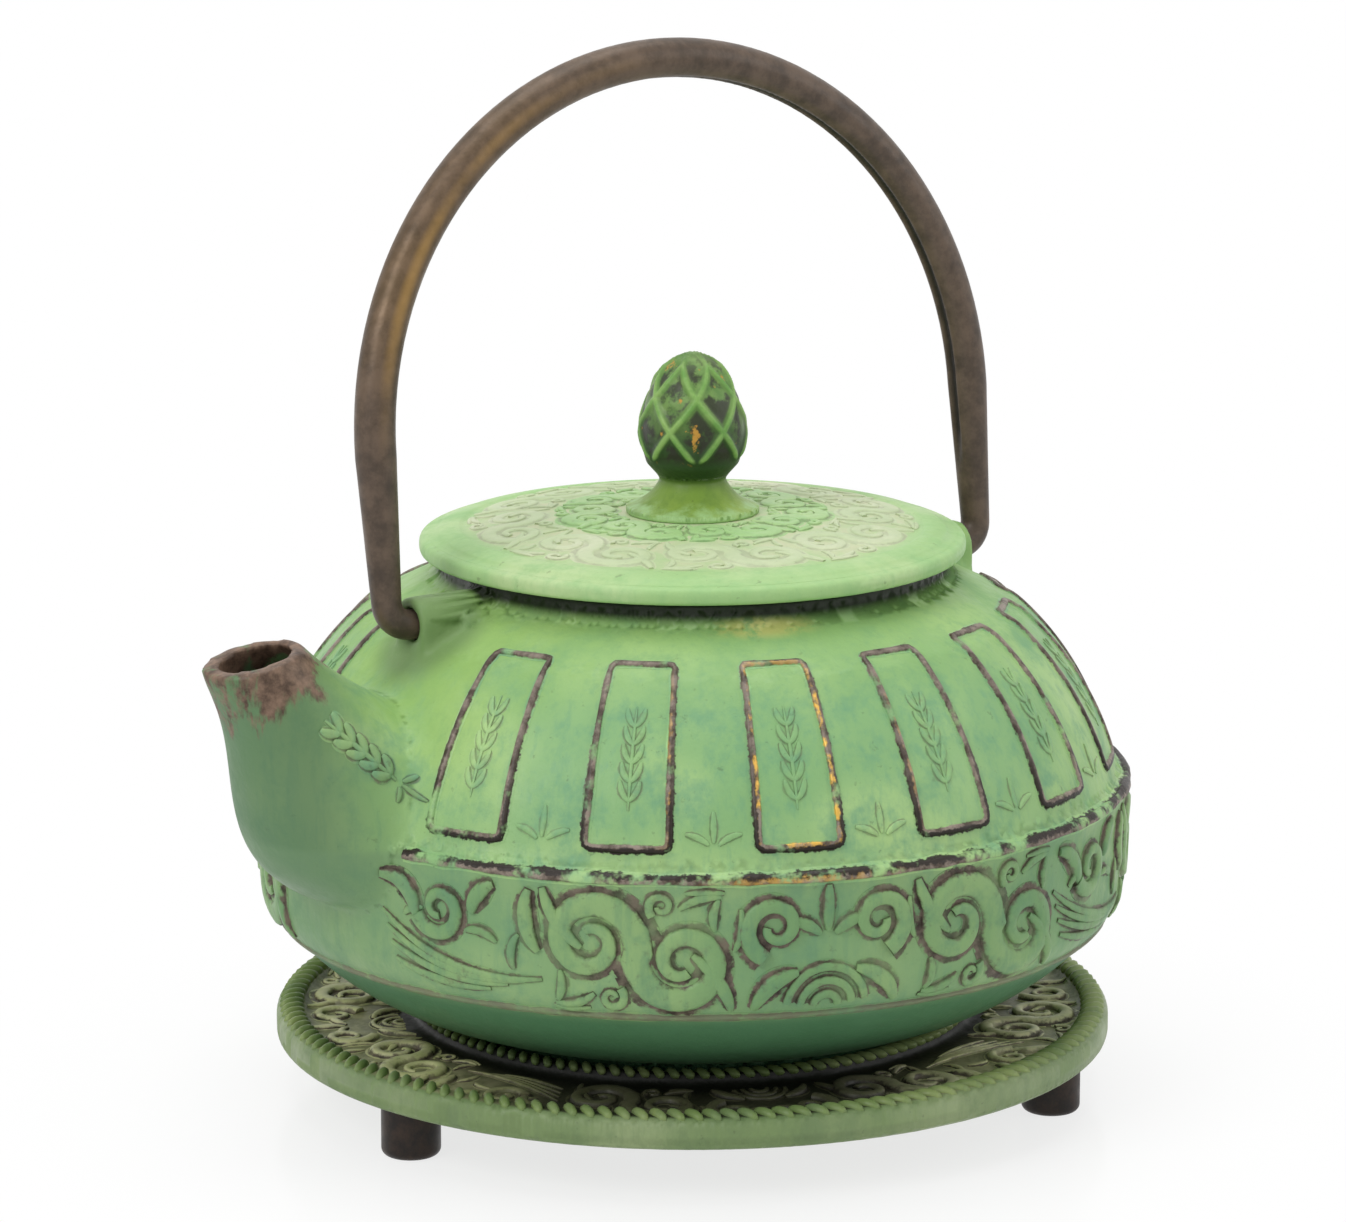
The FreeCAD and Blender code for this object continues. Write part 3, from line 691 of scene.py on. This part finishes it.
TOP_LINE, LOW_LINE, LINE_POINTS, CLEAR_OF_SPOUT = 60.8, 34.8, 420, math.radians(16)
part_arc = np.linspace(CLEAR_OF_SPOUT, 2 * math.pi - CLEAR_OF_SPOUT, LINE_POINTS) * BAND_RADIUS / MM
full_arc = np.linspace(0, 2 * math.pi, LINE_POINTS + 1) * BAND_RADIUS / MM
top_line = wavering(part_arc[::-1], np.full(LINE_POINTS, TOP_LINE), 1.45, 0.2)
low_line = wavering(full_arc[::-1], np.full(LINE_POINTS + 1, LOW_LINE), 1.1, 0.3)
wall = on_wall(pot_skin, BAND_RADIUS, 0)
low_mauve = ribbon("greyed_low_line", BAND_GREENS, "#6E6557", 0.8, 1.6, 1.3, 0.75)
lay("band_top_line", [top_line], 0.75 * MM, wall, "pot", band_bronze)
lay("band_low_line", [low_line], 0.5 * MM, wall, "pot", low_mauve)

# %% [markdown]
# In each frame, and low down between two frames, a small sprig is pressed so shallow that the coat
# nearly fills it. Only its edges show, a little darker than the wall.

# %% Sprigs in the frames
stem = [leaf(0, -8.5, 90, 17, 0, 0.9)]
twigs = [leaf(0, up, 90 - turn, 3.8, turn, 1.5) for up in (-7, -4, -1, 2, 5) for turn in (55, -55)]
tuft = palmette(0, -2.4, 90, 5.6)
between = SHOULDER_RADIUS / MM * math.radians(FRAME_PITCH / 2)
sprigs = []
for middle in middles:
    sprigs += moved(stem + twigs, middle, (frame_low + frame_high) / 2 - 1.5, tall=1.15, thick=0.8)
for middle in middles[:-1]:
    sprigs += moved(tuft, middle + between, frame_low + 2.4, thick=0.8)
sprig_green = ribbon("green_filled_sprigs", GREENS, "#4E5A3E", 0.3, 1.0, 1.4, 0.55)
lay("panel_sprigs", sprigs, 0.3 * MM, shoulder, "pot", sprig_green)

# %% [markdown]
# ## The pot's own finish
# The outside gets the green patina, yellower under the neck and round the spout's root, partly where
# the brush ended and partly as a painted highlight on the upper surfaces. Painted shade darkens the
# spout, the band, the ear beside the spout and a thin line under the lid's edge, and a pale streak on
# the neck under the lid is rubbed gold with a painted highlight. At the spout's lip, fingers and tea
# have worn the green away to brown iron, in trails that run down. The bore and the inside are dark.

# %% The pot's own finish
MOUTH = AXIS + Vector((-96 * MM, 0, 95 * MM))
# Centre of a pale streak on the neck: rubbed gold and a painted highlight.
NECK_RUB_AND_HIGHLIGHT, LEVEL = polar(49.5 * MM, math.radians(250), 98.8 * MM), Vector((1, 1, 7))


def worn_patina(name):
    """The pot's green with painted shade on the spout, band, lug and beneath the lid's edge, painted
    highlights high up, and brown at the spout's lip.
    """
    material, tree, place = blank(name)
    # Yellower high up: partly where the brush ended, partly a painted highlight on the upper surfaces.
    upper_tint_and_highlight = graded(tree, place, 84 * MM, 99 * MM, 0.0, 0.5)
    # Yellower round the top of the spout's root, partly the brush and partly a painted highlight.
    root = fade_from_spot(tree, place, polar(60 * MM, SPOUT_ANGLE, 88 * MM), 12 * MM, 48 * MM, 0.75)
    brushed = add(tree, "Math", (root, patches(tree, place, 14 * MM, 0.3, 0.6)), **TIMES)
    # Painted shade: the spout darker and duller than the body.
    spout = graded(tree, place, AXIS.x - 93 * MM, AXIS.x - 72 * MM, 0.8, 0.0, "X")
    # Painted shade: darker, greyer green on the band and below it.
    band_shade = graded(tree, place, 60 * MM, 62 * MM, 0.5, 0.0)
    # Painted shade: the ear beside the spout darker and greyer.
    ear_shade = fade_from_spot(tree, place, polar(60 * MM, SPOUT_ANGLE, 96 * MM), 8 * MM, 15 * MM, 0.7)
    # Painted shade: a thin near-black line on the neck beneath the lid's edge.
    gap = graded(tree, place, 98.6 * MM, 101 * MM, 0.0, 0.97)
    gap = add(tree, "Math", (gap, ringed(tree, place, 49 * MM, 51 * MM, 1.0)), **TIMES)
    # A thin pale streak beneath the lid: rubbed gold and a painted highlight.
    level = add(tree, "VectorMath", (place, LEVEL), **TIMES)
    neck_rub_and_highlight = fade_from_spot(tree, level, NECK_RUB_AND_HIGHLIGHT * LEVEL, 3 * MM, 14 * MM, 0.65)
    neck_rub_and_highlight = add(tree, "Math", (neck_rub_and_highlight, patches(tree, place, 5 * MM, 0.40, 0.56)), **TIMES)
    trail = add(tree, "Mapping", {"Vector": place, "Scale": (1, 1, 0.3)})
    trail = patches(tree, trail, 5 * MM, 0.2, 0.8, 4 * MM, -9 * MM, 5.0)
    away = add(tree, "VectorMath", (place, MOUTH), "Value", operation="DISTANCE")
    away = add(tree, "Math", (away, trail), operation="ADD")
    worn = add(tree, "MapRange", (away, 7.5 * MM, 11.5 * MM, 1.0, 0.0), **SOFT)
    rust = blotched(tree, place, 2.5 * MM, 0.25, 0.75, "#46362B", "#8A715F")
    colour = patina_colour(tree, place, GREENS, 37 * MM)
    for share, tone in ((upper_tint_and_highlight, "#8FB560"), (brushed, "#93B962"), (spout, "#4F6E50"), (band_shade, "#6C8C66"),
                        (ear_shade, "#6A8458"), (gap, "#0E120B"), (neck_rub_and_highlight, "#D2C978"), (worn, rust)):
        colour = add(tree, "Mix", {0: share, 6: colour, 7: tone}, **COLOUR)
    return finish_skin(material, place, colour, 0.38, 0.56)


def two_toned(name, size, tones, smooth, rough, grain=0.28):
    """A coat of two close tones, so that it never looks flat."""
    material, tree, place = blank(name)
    colour = blotched(tree, place, size, 0.3, 0.7, *tones)
    return finish_skin(material, place, colour, smooth, rough, grain)


# Dark inside, with the brown that tea leaves behind.
enamel = two_toned("dark_enamel_inside", 12 * MM, ("#1B1714", "#4A2F22"), 0.35, 0.6)
dress(pot, "pot", GREEN_IRON, worn_patina("green_patina_worn_at_spout"), enamel)

# %% [markdown]
# A sprig like those in the frames is raised on the spout's upper flank, both sides alike. It is laid
# by rays that cross the spout from the side.

# %% The spray on the spout
def on_flank(skin, middle, side):
    """Where the sheet lies upright beside the spout, seen from the side (-1 near, 1 far)."""
    def where(x, y):
        start = Vector((middle.x + x, side * FAR, middle.z + y))
        return skin.ray_cast(start, Vector((0, -side, 0)))[:2]
    return where


def turned(strokes, degrees):
    """Copies of strokes, turned about the sheet's origin."""
    turn = math.radians(degrees)
    flat = np.array(((math.cos(turn), math.sin(turn), 0), (-math.sin(turn), math.cos(turn), 0), (0, 0, 1)))
    return [stroke @ flat for stroke in strokes]


spray = turned(moved(stem + twigs, 0, tall=0.95, thick=1.15), 45) + palmette(6.0, -6.0, -45, 3.6)
SPRAY_MIDDLE = AXIS + Vector((-83 * MM, 0, 79 * MM))
SPRAY_GREENS = {**GREENS, "leaf": "#6C8F60", "pale": "#8DAE74"}
spray_green = ribbon("green_spray_dark_edged", SPRAY_GREENS, "#3A4230", 0.2, 0.9, 1.4, 0.7)
for side, tag in ((-1, "near"), (1, "far")):
    lay(f"spout_spray_{tag}", spray, 0.55 * MM, on_flank(pot_skin, SPRAY_MIDDLE, side), "pot", spray_green)

# %% [markdown]
# ## The lid
# The lid is its own casting: a low dome with a thick round rim. A roll runs round inside the rim. Low
# scrolls fill the field, laid so flat that they only show where light grazes them; a ring of deeper
# ones stands round the knob.

# %% The lid
LID_DEEP = 60 * MM
# Pale lid greens: partly the patina's tone, partly painted light on the lid's top.
LID_GREENS = {"leaf": "#A2C886", "pale": "#BAD39A", "cool": "#90BD80", "deep": "#5E9A66"}


def lid_patina(name):
    """Yellower, paler green, partly where the brush ended and partly painted light on the lid's top, and a
    pale grey cream in the field that is a painted highlight.
    """
    material, tree, place = blank(name)
    field = ringed(tree, place, 38 * MM, 44 * MM, 0.85)
    # Painted highlight: the field greyed to a pale cream.
    greyed = add(tree, "Math", (field, patches(tree, place, 12 * MM, 0.34, 0.6, 1.0, 0.35)), **TIMES)
    green = patina_colour(tree, place, LID_GREENS, LID_DEEP)
    colour = add(tree, "Mix", {0: greyed, 6: green, 7: "#CBCDAB"}, **COLOUR)
    return finish_skin(material, place, colour, 0.40, 0.58)


lid = lump("lid_casting", ["lid"], 0.7 * MM)
soften(lid, 8)
# Downward faces and the skirt take the dark enamel; on the rim's underside this also stands in for the shade
# beneath the lid's edge.
for face in lid.data.polygons:
    face.material_index = int(face.normal.z < -0.4 or face.center.z < pot_high.z - 0.3 * MM)
lid_green = lid_patina("pale_green_patina_lid")
dress(lid, "lid_set", GREEN_IRON, lid_green, enamel)
lid_skin = skin_of(lid)
ROLL, ROLL_HALF, ROLL_POINTS = 45.6, 2.3, 241
roll_arc = np.linspace(0, 2 * math.pi, ROLL_POINTS) * ROLL
roll = np.stack([roll_arc, np.zeros(ROLL_POINTS), np.full(ROLL_POINTS, ROLL_HALF)], 1)
lay("lid_rim_roll", [roll], 0.45 * MM, on_top(lid_skin, ROLL * MM), "lid_set", lid_green)

# %% Scrolls on the lid
# Paler greens for the field's scrolls, a painted highlight like the field.
FIELD_GREENS = {"leaf": "#BECEA2", "pale": "#D3D8B8", "cool": "#B2C59B", "deep": "#5E9A66"}
rings = (("lid_field_scrolls", 34.6, 8, 0.66, 0.35, FIELD_GREENS, "#8C8C74", 0.3),
         ("lid_inner_scrolls", 20.0, 7, 0.5, 0.45, LID_GREENS, "#4A6A3C", 0.55))
for name, radius, cells, tall, rise, tones, stain, strength in rings:
    step = 2 * math.pi * radius / cells
    scrolls = []
    for index in range(cells):
        scrolls += moved(wave + wave_leaves, (index + 0.5) * step, wide=step / CELL, tall=tall, thick=0.62)
    finish = ribbon(f"green_{name}", tones, stain, 0.2, 0.8, 1.35, strength, LID_DEEP)
    lay(name, scrolls, rise * MM, on_top(lid_skin, radius * MM), "lid_set", finish)

# %% [markdown]
# ## The knob
# The knob is a bud whose scales meet in raised edges, like a net of diamonds that closes at the tip.
# The bud is drawn by its half widths, and the net is a pattern of turn and height: each vertex near
# one of its lines is pushed out along its normal, and the hollows between are pushed in.

# %% The knob
BUD_PROFILE = ((6.0, 6.2), (6.8, 7.4), (8.6, 9.4), (9.7, 12.4), (9.9, 15.0), (9.6, 18.0),
               (8.7, 21.8), (7.0, 25.4), (5.2, 27.7), (3.4, 29.2), (1.6, 30.0))
SCALES, NET_LOW, NET_RISE = 6, math.radians(-37), math.radians(36)
EDGE_RISE, HOLLOW, BUD_MIDDLE = 0.45 * MM, 0.15 * MM, 16.6 * MM
knob = lump("knob_casting", ["lid_knob"], 0.35 * MM)
corners = corners_of(knob)
out = corners[:, :2] - (AXIS.x, 0)
half_widths, heights = np.array(BUD_PROFILE).T * MM
bud = corners[:, 2] - lid_high.z > heights[0]
wanted = np.interp(corners[:, 2] - lid_high.z, heights, half_widths)
plain = np.maximum(np.hypot(*out.T), 0.01 * MM)
grown = np.where(bud & (plain > 1.2 * MM), wanted / plain, 1.0)
corners[:, :2] = (AXIS.x, 0) + out * np.clip(grown, 0.5, 2.0)[:, None]
put_corners(knob, corners)
soften(knob, 8)
corners = corners_of(knob)
normals = normals_of(knob)
turn = np.arctan2(corners[:, 1], corners[:, 0] - AXIS.x) / (math.pi / SCALES)
aim = np.arctan2(corners[:, 2] - lid_high.z - BUD_MIDDLE, np.hypot(corners[:, 0] - AXIS.x, corners[:, 1]))
row = (aim - NET_LOW) / NET_RISE
steps = [np.abs(line / 2 - np.round(line / 2)) * 2 for line in (row + turn, row - turn)]
edge = np.exp(-(np.minimum(*steps) / 0.20) ** 2) * np.clip(row * 5 + 1, 0, 1)
on_net = np.clip(row * 4, 0, 1) * np.clip(np.cos(aim) * 2.2, 0, 1) * (corners[:, 2] > lid_high.z + 5 * MM)
push = on_net * (EDGE_RISE * edge - HOLLOW * (1 - edge))
put_corners(knob, corners + normals * push[:, None])
keep_number(knob, "relief", edge * on_net)
keep_number(knob, "net", on_net)
print("knob:", len(corners), "vertices,", int((edge * on_net > 0.5).sum()), "on the net")


def knob_patina(name):
    """Light green edges, dark hollows with a little gold, painted shade on the lower half of the bud, and
    yellow green on the flare.
    """
    material, tree, place = blank(name)
    up = add(tree, "VectorMath", (place, (0, 0, lid_high.z)), operation="SUBTRACT")
    net, relief = (add(tree, "Attribute", attribute_name=kept, out="Fac") for kept in ("net", "relief"))
    ragged = patches(tree, place, 3 * MM, 0.25, 0.75, 1.2 * MM, -1.2 * MM)
    ragged = add(tree, "VectorMath", (up, ragged), operation="ADD")
    foot = graded(tree, ragged, 0.2 * MM, 3 * MM, 0.95, 0.0)
    neck = graded(tree, up, 4.5 * MM, 8 * MM)
    # Painted shade: the lower half of the bud darker.
    low = graded(tree, up, 12 * MM, 24 * MM, 0.95, 0.0)
    hollow = add(tree, "MapRange", (relief, 0.0, 0.35, 1.0, 0.0), **SOFT)
    hollow = add(tree, "Math", (hollow, net), **TIMES)
    dark = add(tree, "Math", (hollow, patches(tree, place, 6 * MM, 0.44, 0.56, 0.9)), **TIMES)
    gold = add(tree, "Math", (hollow, patches(tree, place, 4.5 * MM, 0.60, 0.66)), **TIMES)
    crest = add(tree, "MapRange", (relief, 0.35, 0.95, 0.0, 0.9), **SOFT)
    raised = blotched(tree, place, 5 * MM, 0.3, 0.7, "#6B9E4C", "#93B868")
    bud = blotched(tree, place, 7 * MM, 0.35, 0.65, "#5C8440", "#7E9E58")
    for share, tone in ((low, "#26401F"), (dark, "#2B2A22"), (gold, "#C2913F"), (crest, raised)):
        bud = add(tree, "Mix", {0: share, 6: bud, 7: tone}, **COLOUR)
    flare = {"leaf": "#779A3C", "pale": "#93B04E", "cool": "#63863A", "deep": "#5E8A46"}
    colour = patina_colour(tree, place, flare, LID_DEEP)
    for share, tone in ((foot, LID_GREENS["leaf"]), (neck, bud)):
        colour = add(tree, "Mix", {0: share, 6: colour, 7: tone}, **COLOUR)
    return finish_skin(material, place, colour, 0.36, 0.52)


dress(knob, "lid_set", GREEN_IRON, knob_patina("green_patina_bud_knob"))

# %% [markdown]
# ## The bail
# The handle is a rolled tube: its long edges meet on the inner side in a narrow slit, pressed in here
# along the tube's own middle plane. It was lacquered brown over hot oil. A golden brown highlight,
# partly rubbed wear, is painted on the upper left of the grip, and the slit is painted near black as
# its shade.

# %% The bail
SLIT_HALF, SLIT_DEEP, SLIT_FROM, SLIT_FULL = 0.9 * MM, 0.8 * MM, 14 * MM, 22 * MM
ARCH_MIDDLE = 33 * MM
bail = lump("bail_tube", ["bail_handle"], 0.55 * MM)
soften(bail, 6)
corners = corners_of(bail)
crown = corners[corners[:, 2] > bail_high.z - 4 * MM].mean(0) - HINGE
upward = np.array((0, crown[1], crown[2])) / math.hypot(crown[1], crown[2])
aside = (corners - HINGE) @ np.cross((1, 0, 0), upward)
rise = (corners - HINGE) @ upward
inward = np.array((AXIS.x, HINGE.y, HINGE.z)) + upward * ARCH_MIDDLE - corners
normals = normals_of(bail)
inward = (inward * normals).sum(1) / np.linalg.norm(inward, axis=1)
slit = np.exp(-(aside / SLIT_HALF) ** 4) * (inward > 0.6)
slit *= np.clip((rise - SLIT_FROM) / (SLIT_FULL - SLIT_FROM), 0, 1)
put_corners(bail, corners - normals * (SLIT_DEEP * slit)[:, None])
keep_number(bail, "slit", slit)
keep_number(bail, "flank", np.abs(aside) / np.abs(aside).max())
print("slit pressed into", int((slit > 0.5).sum()), "vertices")


def brown_lacquer(name):
    """Dark brown, with a golden brown painted highlight, partly rubbed wear, on the upper left of the bail,
    and painted shade in the slit.
    """
    material, tree, place = blank(name)
    flank, slit = (add(tree, "Attribute", attribute_name=kept, out="Fac") for kept in ("flank", "slit"))
    # Painted highlight, partly rubbed wear: golden brown and a little metal on the upper left.
    upper_left_highlight = graded(tree, place, AXIS.x - 62 * MM, AXIS.x + 22 * MM, 1.0, 0.0, "X")
    high = graded(tree, place, bail_low.z + 30 * MM, bail_high.z - 40 * MM)
    upper_left_highlight = add(tree, "Math", (upper_left_highlight, high), **TIMES)
    drawn = add(tree, "Mapping", {"Vector": place, "Scale": (0.5, 1.6, 0.5)})
    worn = add(tree, "Math", (upper_left_highlight, patches(tree, drawn, 9 * MM, 0.30, 0.62, 1.0, 0.35)), **TIMES)
    flank = add(tree, "MapRange", (flank, 0.8, 0.99, 0.12, 0.9), **SOFT)
    worn = add(tree, "Math", (worn, flank), **TIMES)
    colour = blotched(tree, place, 5 * MM, 0.3, 0.7, "#463B32", "#655548")
    # The golden tone is the painted highlight; the slit is painted near black as its shade.
    for share, tone in ((worn, "#B08A48"), (slit, "#17120E")):
        colour = add(tree, "Mix", {0: share, 6: colour, 7: tone}, **COLOUR)
    metal = add(tree, "Math", (upper_left_highlight, 0.35), **TIMES)
    return finish_skin(material, place, colour, 0.34, 0.46, 0.16, metal)


dress(bail, "bail", "brown_iron", brown_lacquer("brown_lacquered_iron"))

# %% [markdown]
# ## The trivet
# The stand is a flat casting with a rope-twist rim, a smaller rope ring that keeps the pot from
# sliding, and scrolling leaves between the two. Its field is olive, stained dark in the hollows, and
# painted shade turns it nearly black under the pot and on the front side, in place of the pot's shadow.

# %% The trivet
TRIVET_GREENS = {"leaf": "#788E5E", "pale": "#94A478", "cool": "#6C825A", "deep": "#2A3020"}
FIELD_OLIVE = {"leaf": "#C8C894", "pale": "#E0DCB4", "cool": "#B4C078", "deep": "#2A3020"}
# A spot on the trivet's front side; painted shade round it stands in for the pot's shadow.
FRONT_SHADE_SPOT, TRIVET_DEEP = polar(64 * MM, math.radians(238), 14 * MM), 6 * MM
plate_top = trivet_low.z + 4.0 * MM


def trivet_patina(name):
    """Olive green outside, a darker field with stain that reaches beneath the rope, and painted shade towards
    the pot and on the front side.
    """
    material, tree, place = blank(name)
    top = graded(tree, place, plate_top - 1 * MM, plate_top - 0.3 * MM)
    sunk = ringed(tree, place, 77.0 * MM, 78.2 * MM, 1.0)
    # Painted shadow of the pot: nearly black beneath its belly.
    under = ringed(tree, place, 54 * MM, 64 * MM, 1.0)
    # Painted shade on the front side, nearly black.
    front_shade = fade_from_spot(tree, place, FRONT_SHADE_SPOT, FRONT_SHADE_NEAR, FRONT_SHADE_FAR, 0.93)
    stain = blotched(tree, place, 4 * MM, 0.3, 0.7, "#7C7E5C", "#B4B288")
    for share, tone in ((under, "#14160F"), (front_shade, "#12140E")):
        stain = add(tree, "Mix", {0: share, 6: stain, 7: tone}, **COLOUR)
    field = add(tree, "Math", (top, sunk), **TIMES)
    green = patina_colour(tree, place, TRIVET_GREENS, TRIVET_DEEP)
    colour = add(tree, "Mix", {0: field, 6: green, 7: stain}, **COLOUR)
    return finish_skin(material, place, colour, 0.36, 0.52)


trivet = lump("trivet_casting", ["trivet_plate"], 0.8 * MM)
soften(trivet, 5)
trivet_skin = skin_of(trivet)
dress(trivet, "trivet", GREEN_IRON, trivet_patina("olive_patina_trivet_iron"))
FIELD, TRIVET_CELLS = 64.4, 16
drawings = (wave + wave_leaves, fan + fan_leaves, turned(wave + wave_leaves, 180), curl + curl_leaves)
step = 2 * math.pi * FIELD / TRIVET_CELLS
field = []
for index in range(TRIVET_CELLS):
    field += moved(drawings[index % 4], index * step, wide=step / CELL, tall=0.82, thick=0.62)
scroll_olive = ribbon("olive_scrolls_dark_ground", FIELD_OLIVE, "#2E3022", 0.35, 0.95, 1.5,
                      deep_top=TRIVET_DEEP, front_shade_spot=FRONT_SHADE_SPOT)
lay("trivet_scrolls", field, 1.05 * MM, on_top(trivet_skin, FIELD * MM), "trivet", scroll_olive)

# %% [markdown]
# A rope ring is one slanted bead, modelled from a small sphere and copied round the ring. The beads
# are only a few dozen faces each, because there are hundreds of them.

# %% Rope rings
SLANT = math.radians(-35)


def rope(name, radius, height, beads, size, finish):
    """Ring of slanted beads, one modelled and the rest copied."""
    bpy.ops.object.select_all(action="DESELECT")
    bpy.ops.mesh.primitive_uv_sphere_add(segments=8, ring_count=6, radius=1)
    bead = bpy.context.object
    bpy.ops.object.mode_set(mode="EDIT")
    bpy.ops.mesh.select_all(action="SELECT")
    bpy.ops.transform.resize(value=size, center_override=(0, 0, 0))
    bpy.ops.transform.rotate(value=SLANT, orient_axis="Z", center_override=(0, 0, 0))
    bpy.ops.object.mode_set(mode="OBJECT")
    ring = []
    for index in range(beads):
        turn = 2 * math.pi * index / beads
        mesh = bead.data.copy()
        mesh.transform(Matrix.Translation(polar(radius, turn, height)) @ Matrix.Rotation(turn, 4, "Z"))
        ring.append(new_piece(f"{name}_{index}", mesh))
    bpy.data.objects.remove(bead)
    made = join(name, ring)
    bpy.ops.object.shade_smooth()
    dress(made, "trivet", GREEN_IRON, finish)


def rope_patina(name):
    """Rubbed olive, a little yellower than the rim."""
    material, tree, place = blank(name)
    tones = {**TRIVET_GREENS, "leaf": "#748A50", "pale": "#94A468"}
    return finish_skin(material, place, patina_colour(tree, place, tones, TRIVET_DEEP), 0.34, 0.50)


rope_olive = rope_patina("rubbed_olive_rope_iron")
rope("trivet_rim_rope", 76.2 * MM, 16.0 * MM, 150, (2.9 * MM, 1.05 * MM, 1.3 * MM), rope_olive)
rope("trivet_seat_rope", 51.5 * MM, 16.4 * MM, 120, (2.3 * MM, 0.9 * MM, 1.0 * MM), rope_olive)

# %% [markdown]
# ## Feet, strainer and fastening
# Three rubber feet keep the hot stand off the table. The strainer, its rim and the washer and nut
# under the lid are stainless sheet, brushed in the round.

# %% Feet, strainer and fastening
def stainless(name):
    """Bright sheet with fine lines round its axis from brushing."""
    material, tree, place = blank(name)
    spun = add(tree, "Mapping", {"Vector": place, "Scale": (1, 1, 14)})
    colour = blotched(tree, spun, 5 * MM, 0.3, 0.7, "#B9B8B4", "#DAD9D6")
    return finish_skin(material, place, colour, 0.22, 0.38, 0.04, metal=1.0)


# Matt and nearly black, with dust in its pores.
rubber = two_toned("dark_brown_rubber", 3 * MM, ("#17110E", "#33261E"), 0.32, 0.5, 0.1)
steel = stainless("brushed_stainless_sheet")
finishes = {rubber: ("trivet_foot_1", "trivet_foot_2", "trivet_foot_3"),
            steel: ("infuser_rim", "infuser_basket", "knob_washer", "knob_nut")}
for material, nodes in finishes.items():
    for node in nodes:
        frame["nodes"][node].data.materials.clear()
        frame["nodes"][node].data.materials.append(material)
    print(material.name, "on", len(nodes), "pieces")

# %% [markdown]
# ## Studio
# The pot stands on a white sweep under three large soft lights, on the left, overhead and lower on
# the right, with an even pale surround that the satin coat reflects. To the eye the sweep is white,
# and near the pot enough of the paper shows to hold its shadow.

# %% Studio
def seen_directly(tree):
    """1 for rays from the camera, from metal or through glass, which should find a white studio."""
    seen = add(tree, "LightPath", out="Is Camera Ray")
    for ray in ("Is Glossy Ray", "Is Transmission Ray"):
        seen = add(tree, "Math", (seen, add(tree, "LightPath", out=ray)), operation="MAXIMUM")
    return seen


SHADE_NEAR, SHADE_FAR, SHADE_SHARE = 0.06, 0.15, 0.76
AIM = Vector((0, 0, 0.08))
bpy.ops.object.select_all(action="DESELECT")
bpy.ops.mesh.primitive_plane_add(size=14)
floor = bpy.context.object
floor.name = "studio_floor"
paper, tree, place = blank("white_paper_floor")
feed(tree, tree.nodes[SHADER], {"Base Color": "#F6F6F5", "Roughness": 0.16})
away = add(tree, "VectorMath", (place, AXIS), "Value", operation="DISTANCE")
white = add(tree, "MapRange", (away, SHADE_NEAR, SHADE_FAR, SHADE_SHARE, 1.0), **SOFT)
white = add(tree, "Math", (seen_directly(tree), white), **TIMES)
glow = add(tree, "Emission", {"Color": (1, 1, 1, 1), "Strength": 1.0})
sweep = add(tree, "MixShader", (white, tree.nodes[SHADER].outputs[0], glow))
feed(tree, tree.nodes["Material Output"], {"Surface": sweep})
floor.data.materials.append(paper)

world = bpy.data.worlds.new("studio")
bpy.context.scene.world = world
world.use_nodes = True
tree = world.node_tree
sky = add(tree, "MapRange", {0: seen_directly(tree), 3: 0.45, 4: 1.0})
feed(tree, tree.nodes["Background"], {"Color": (1, 1, 1, 1), "Strength": sky})


def soft_light(name, place, size, watts):
    light = bpy.data.lights.new(name, "AREA")
    light.size, light.energy = size, watts
    lamp = new_piece(name, light)
    lamp.location = place
    lamp.rotation_euler = (AIM - lamp.location).to_track_quat("-Z", "Y").to_euler()
    print(name, "lamp,", watts, "W")


soft_light("key", Vector((-1.4, -0.3, 1.15)), 0.8, 11.5)
soft_light("top", Vector((0.1, 0.15, 1.5)), 1.0, 10)
soft_light("right", Vector((1.1, -1.1, 0.8)), 1.0, 5.2)

# %% [markdown]
# ## Camera
# A long lens a metre away, looking a little down, from the spout's near side.

# %% Camera
PHI, YAW, PITCH = math.radians(35), -0.0035, 0.2155
DISTANCE, EYE_HEIGHT, FOCAL = 1.05, 0.3212, 152.83
lens = bpy.data.cameras.new("camera")
lens.sensor_fit, lens.sensor_width, lens.lens = "HORIZONTAL", 36, FOCAL
camera = new_piece("camera", lens)
eye = AXIS + Vector((-DISTANCE * math.sin(PHI), -DISTANCE * math.cos(PHI), EYE_HEIGHT))
turn, tilt = Matrix.Rotation(-PHI - YAW, 4, "Z"), Matrix.Rotation(math.pi / 2 - PITCH, 4, "X")
camera.matrix_world = Matrix.Translation(eye) @ turn @ tilt
bpy.context.scene.camera = camera
bpy.context.scene.view_settings.view_transform = "Standard"
print("camera at", [round(value, 3) for value in eye])
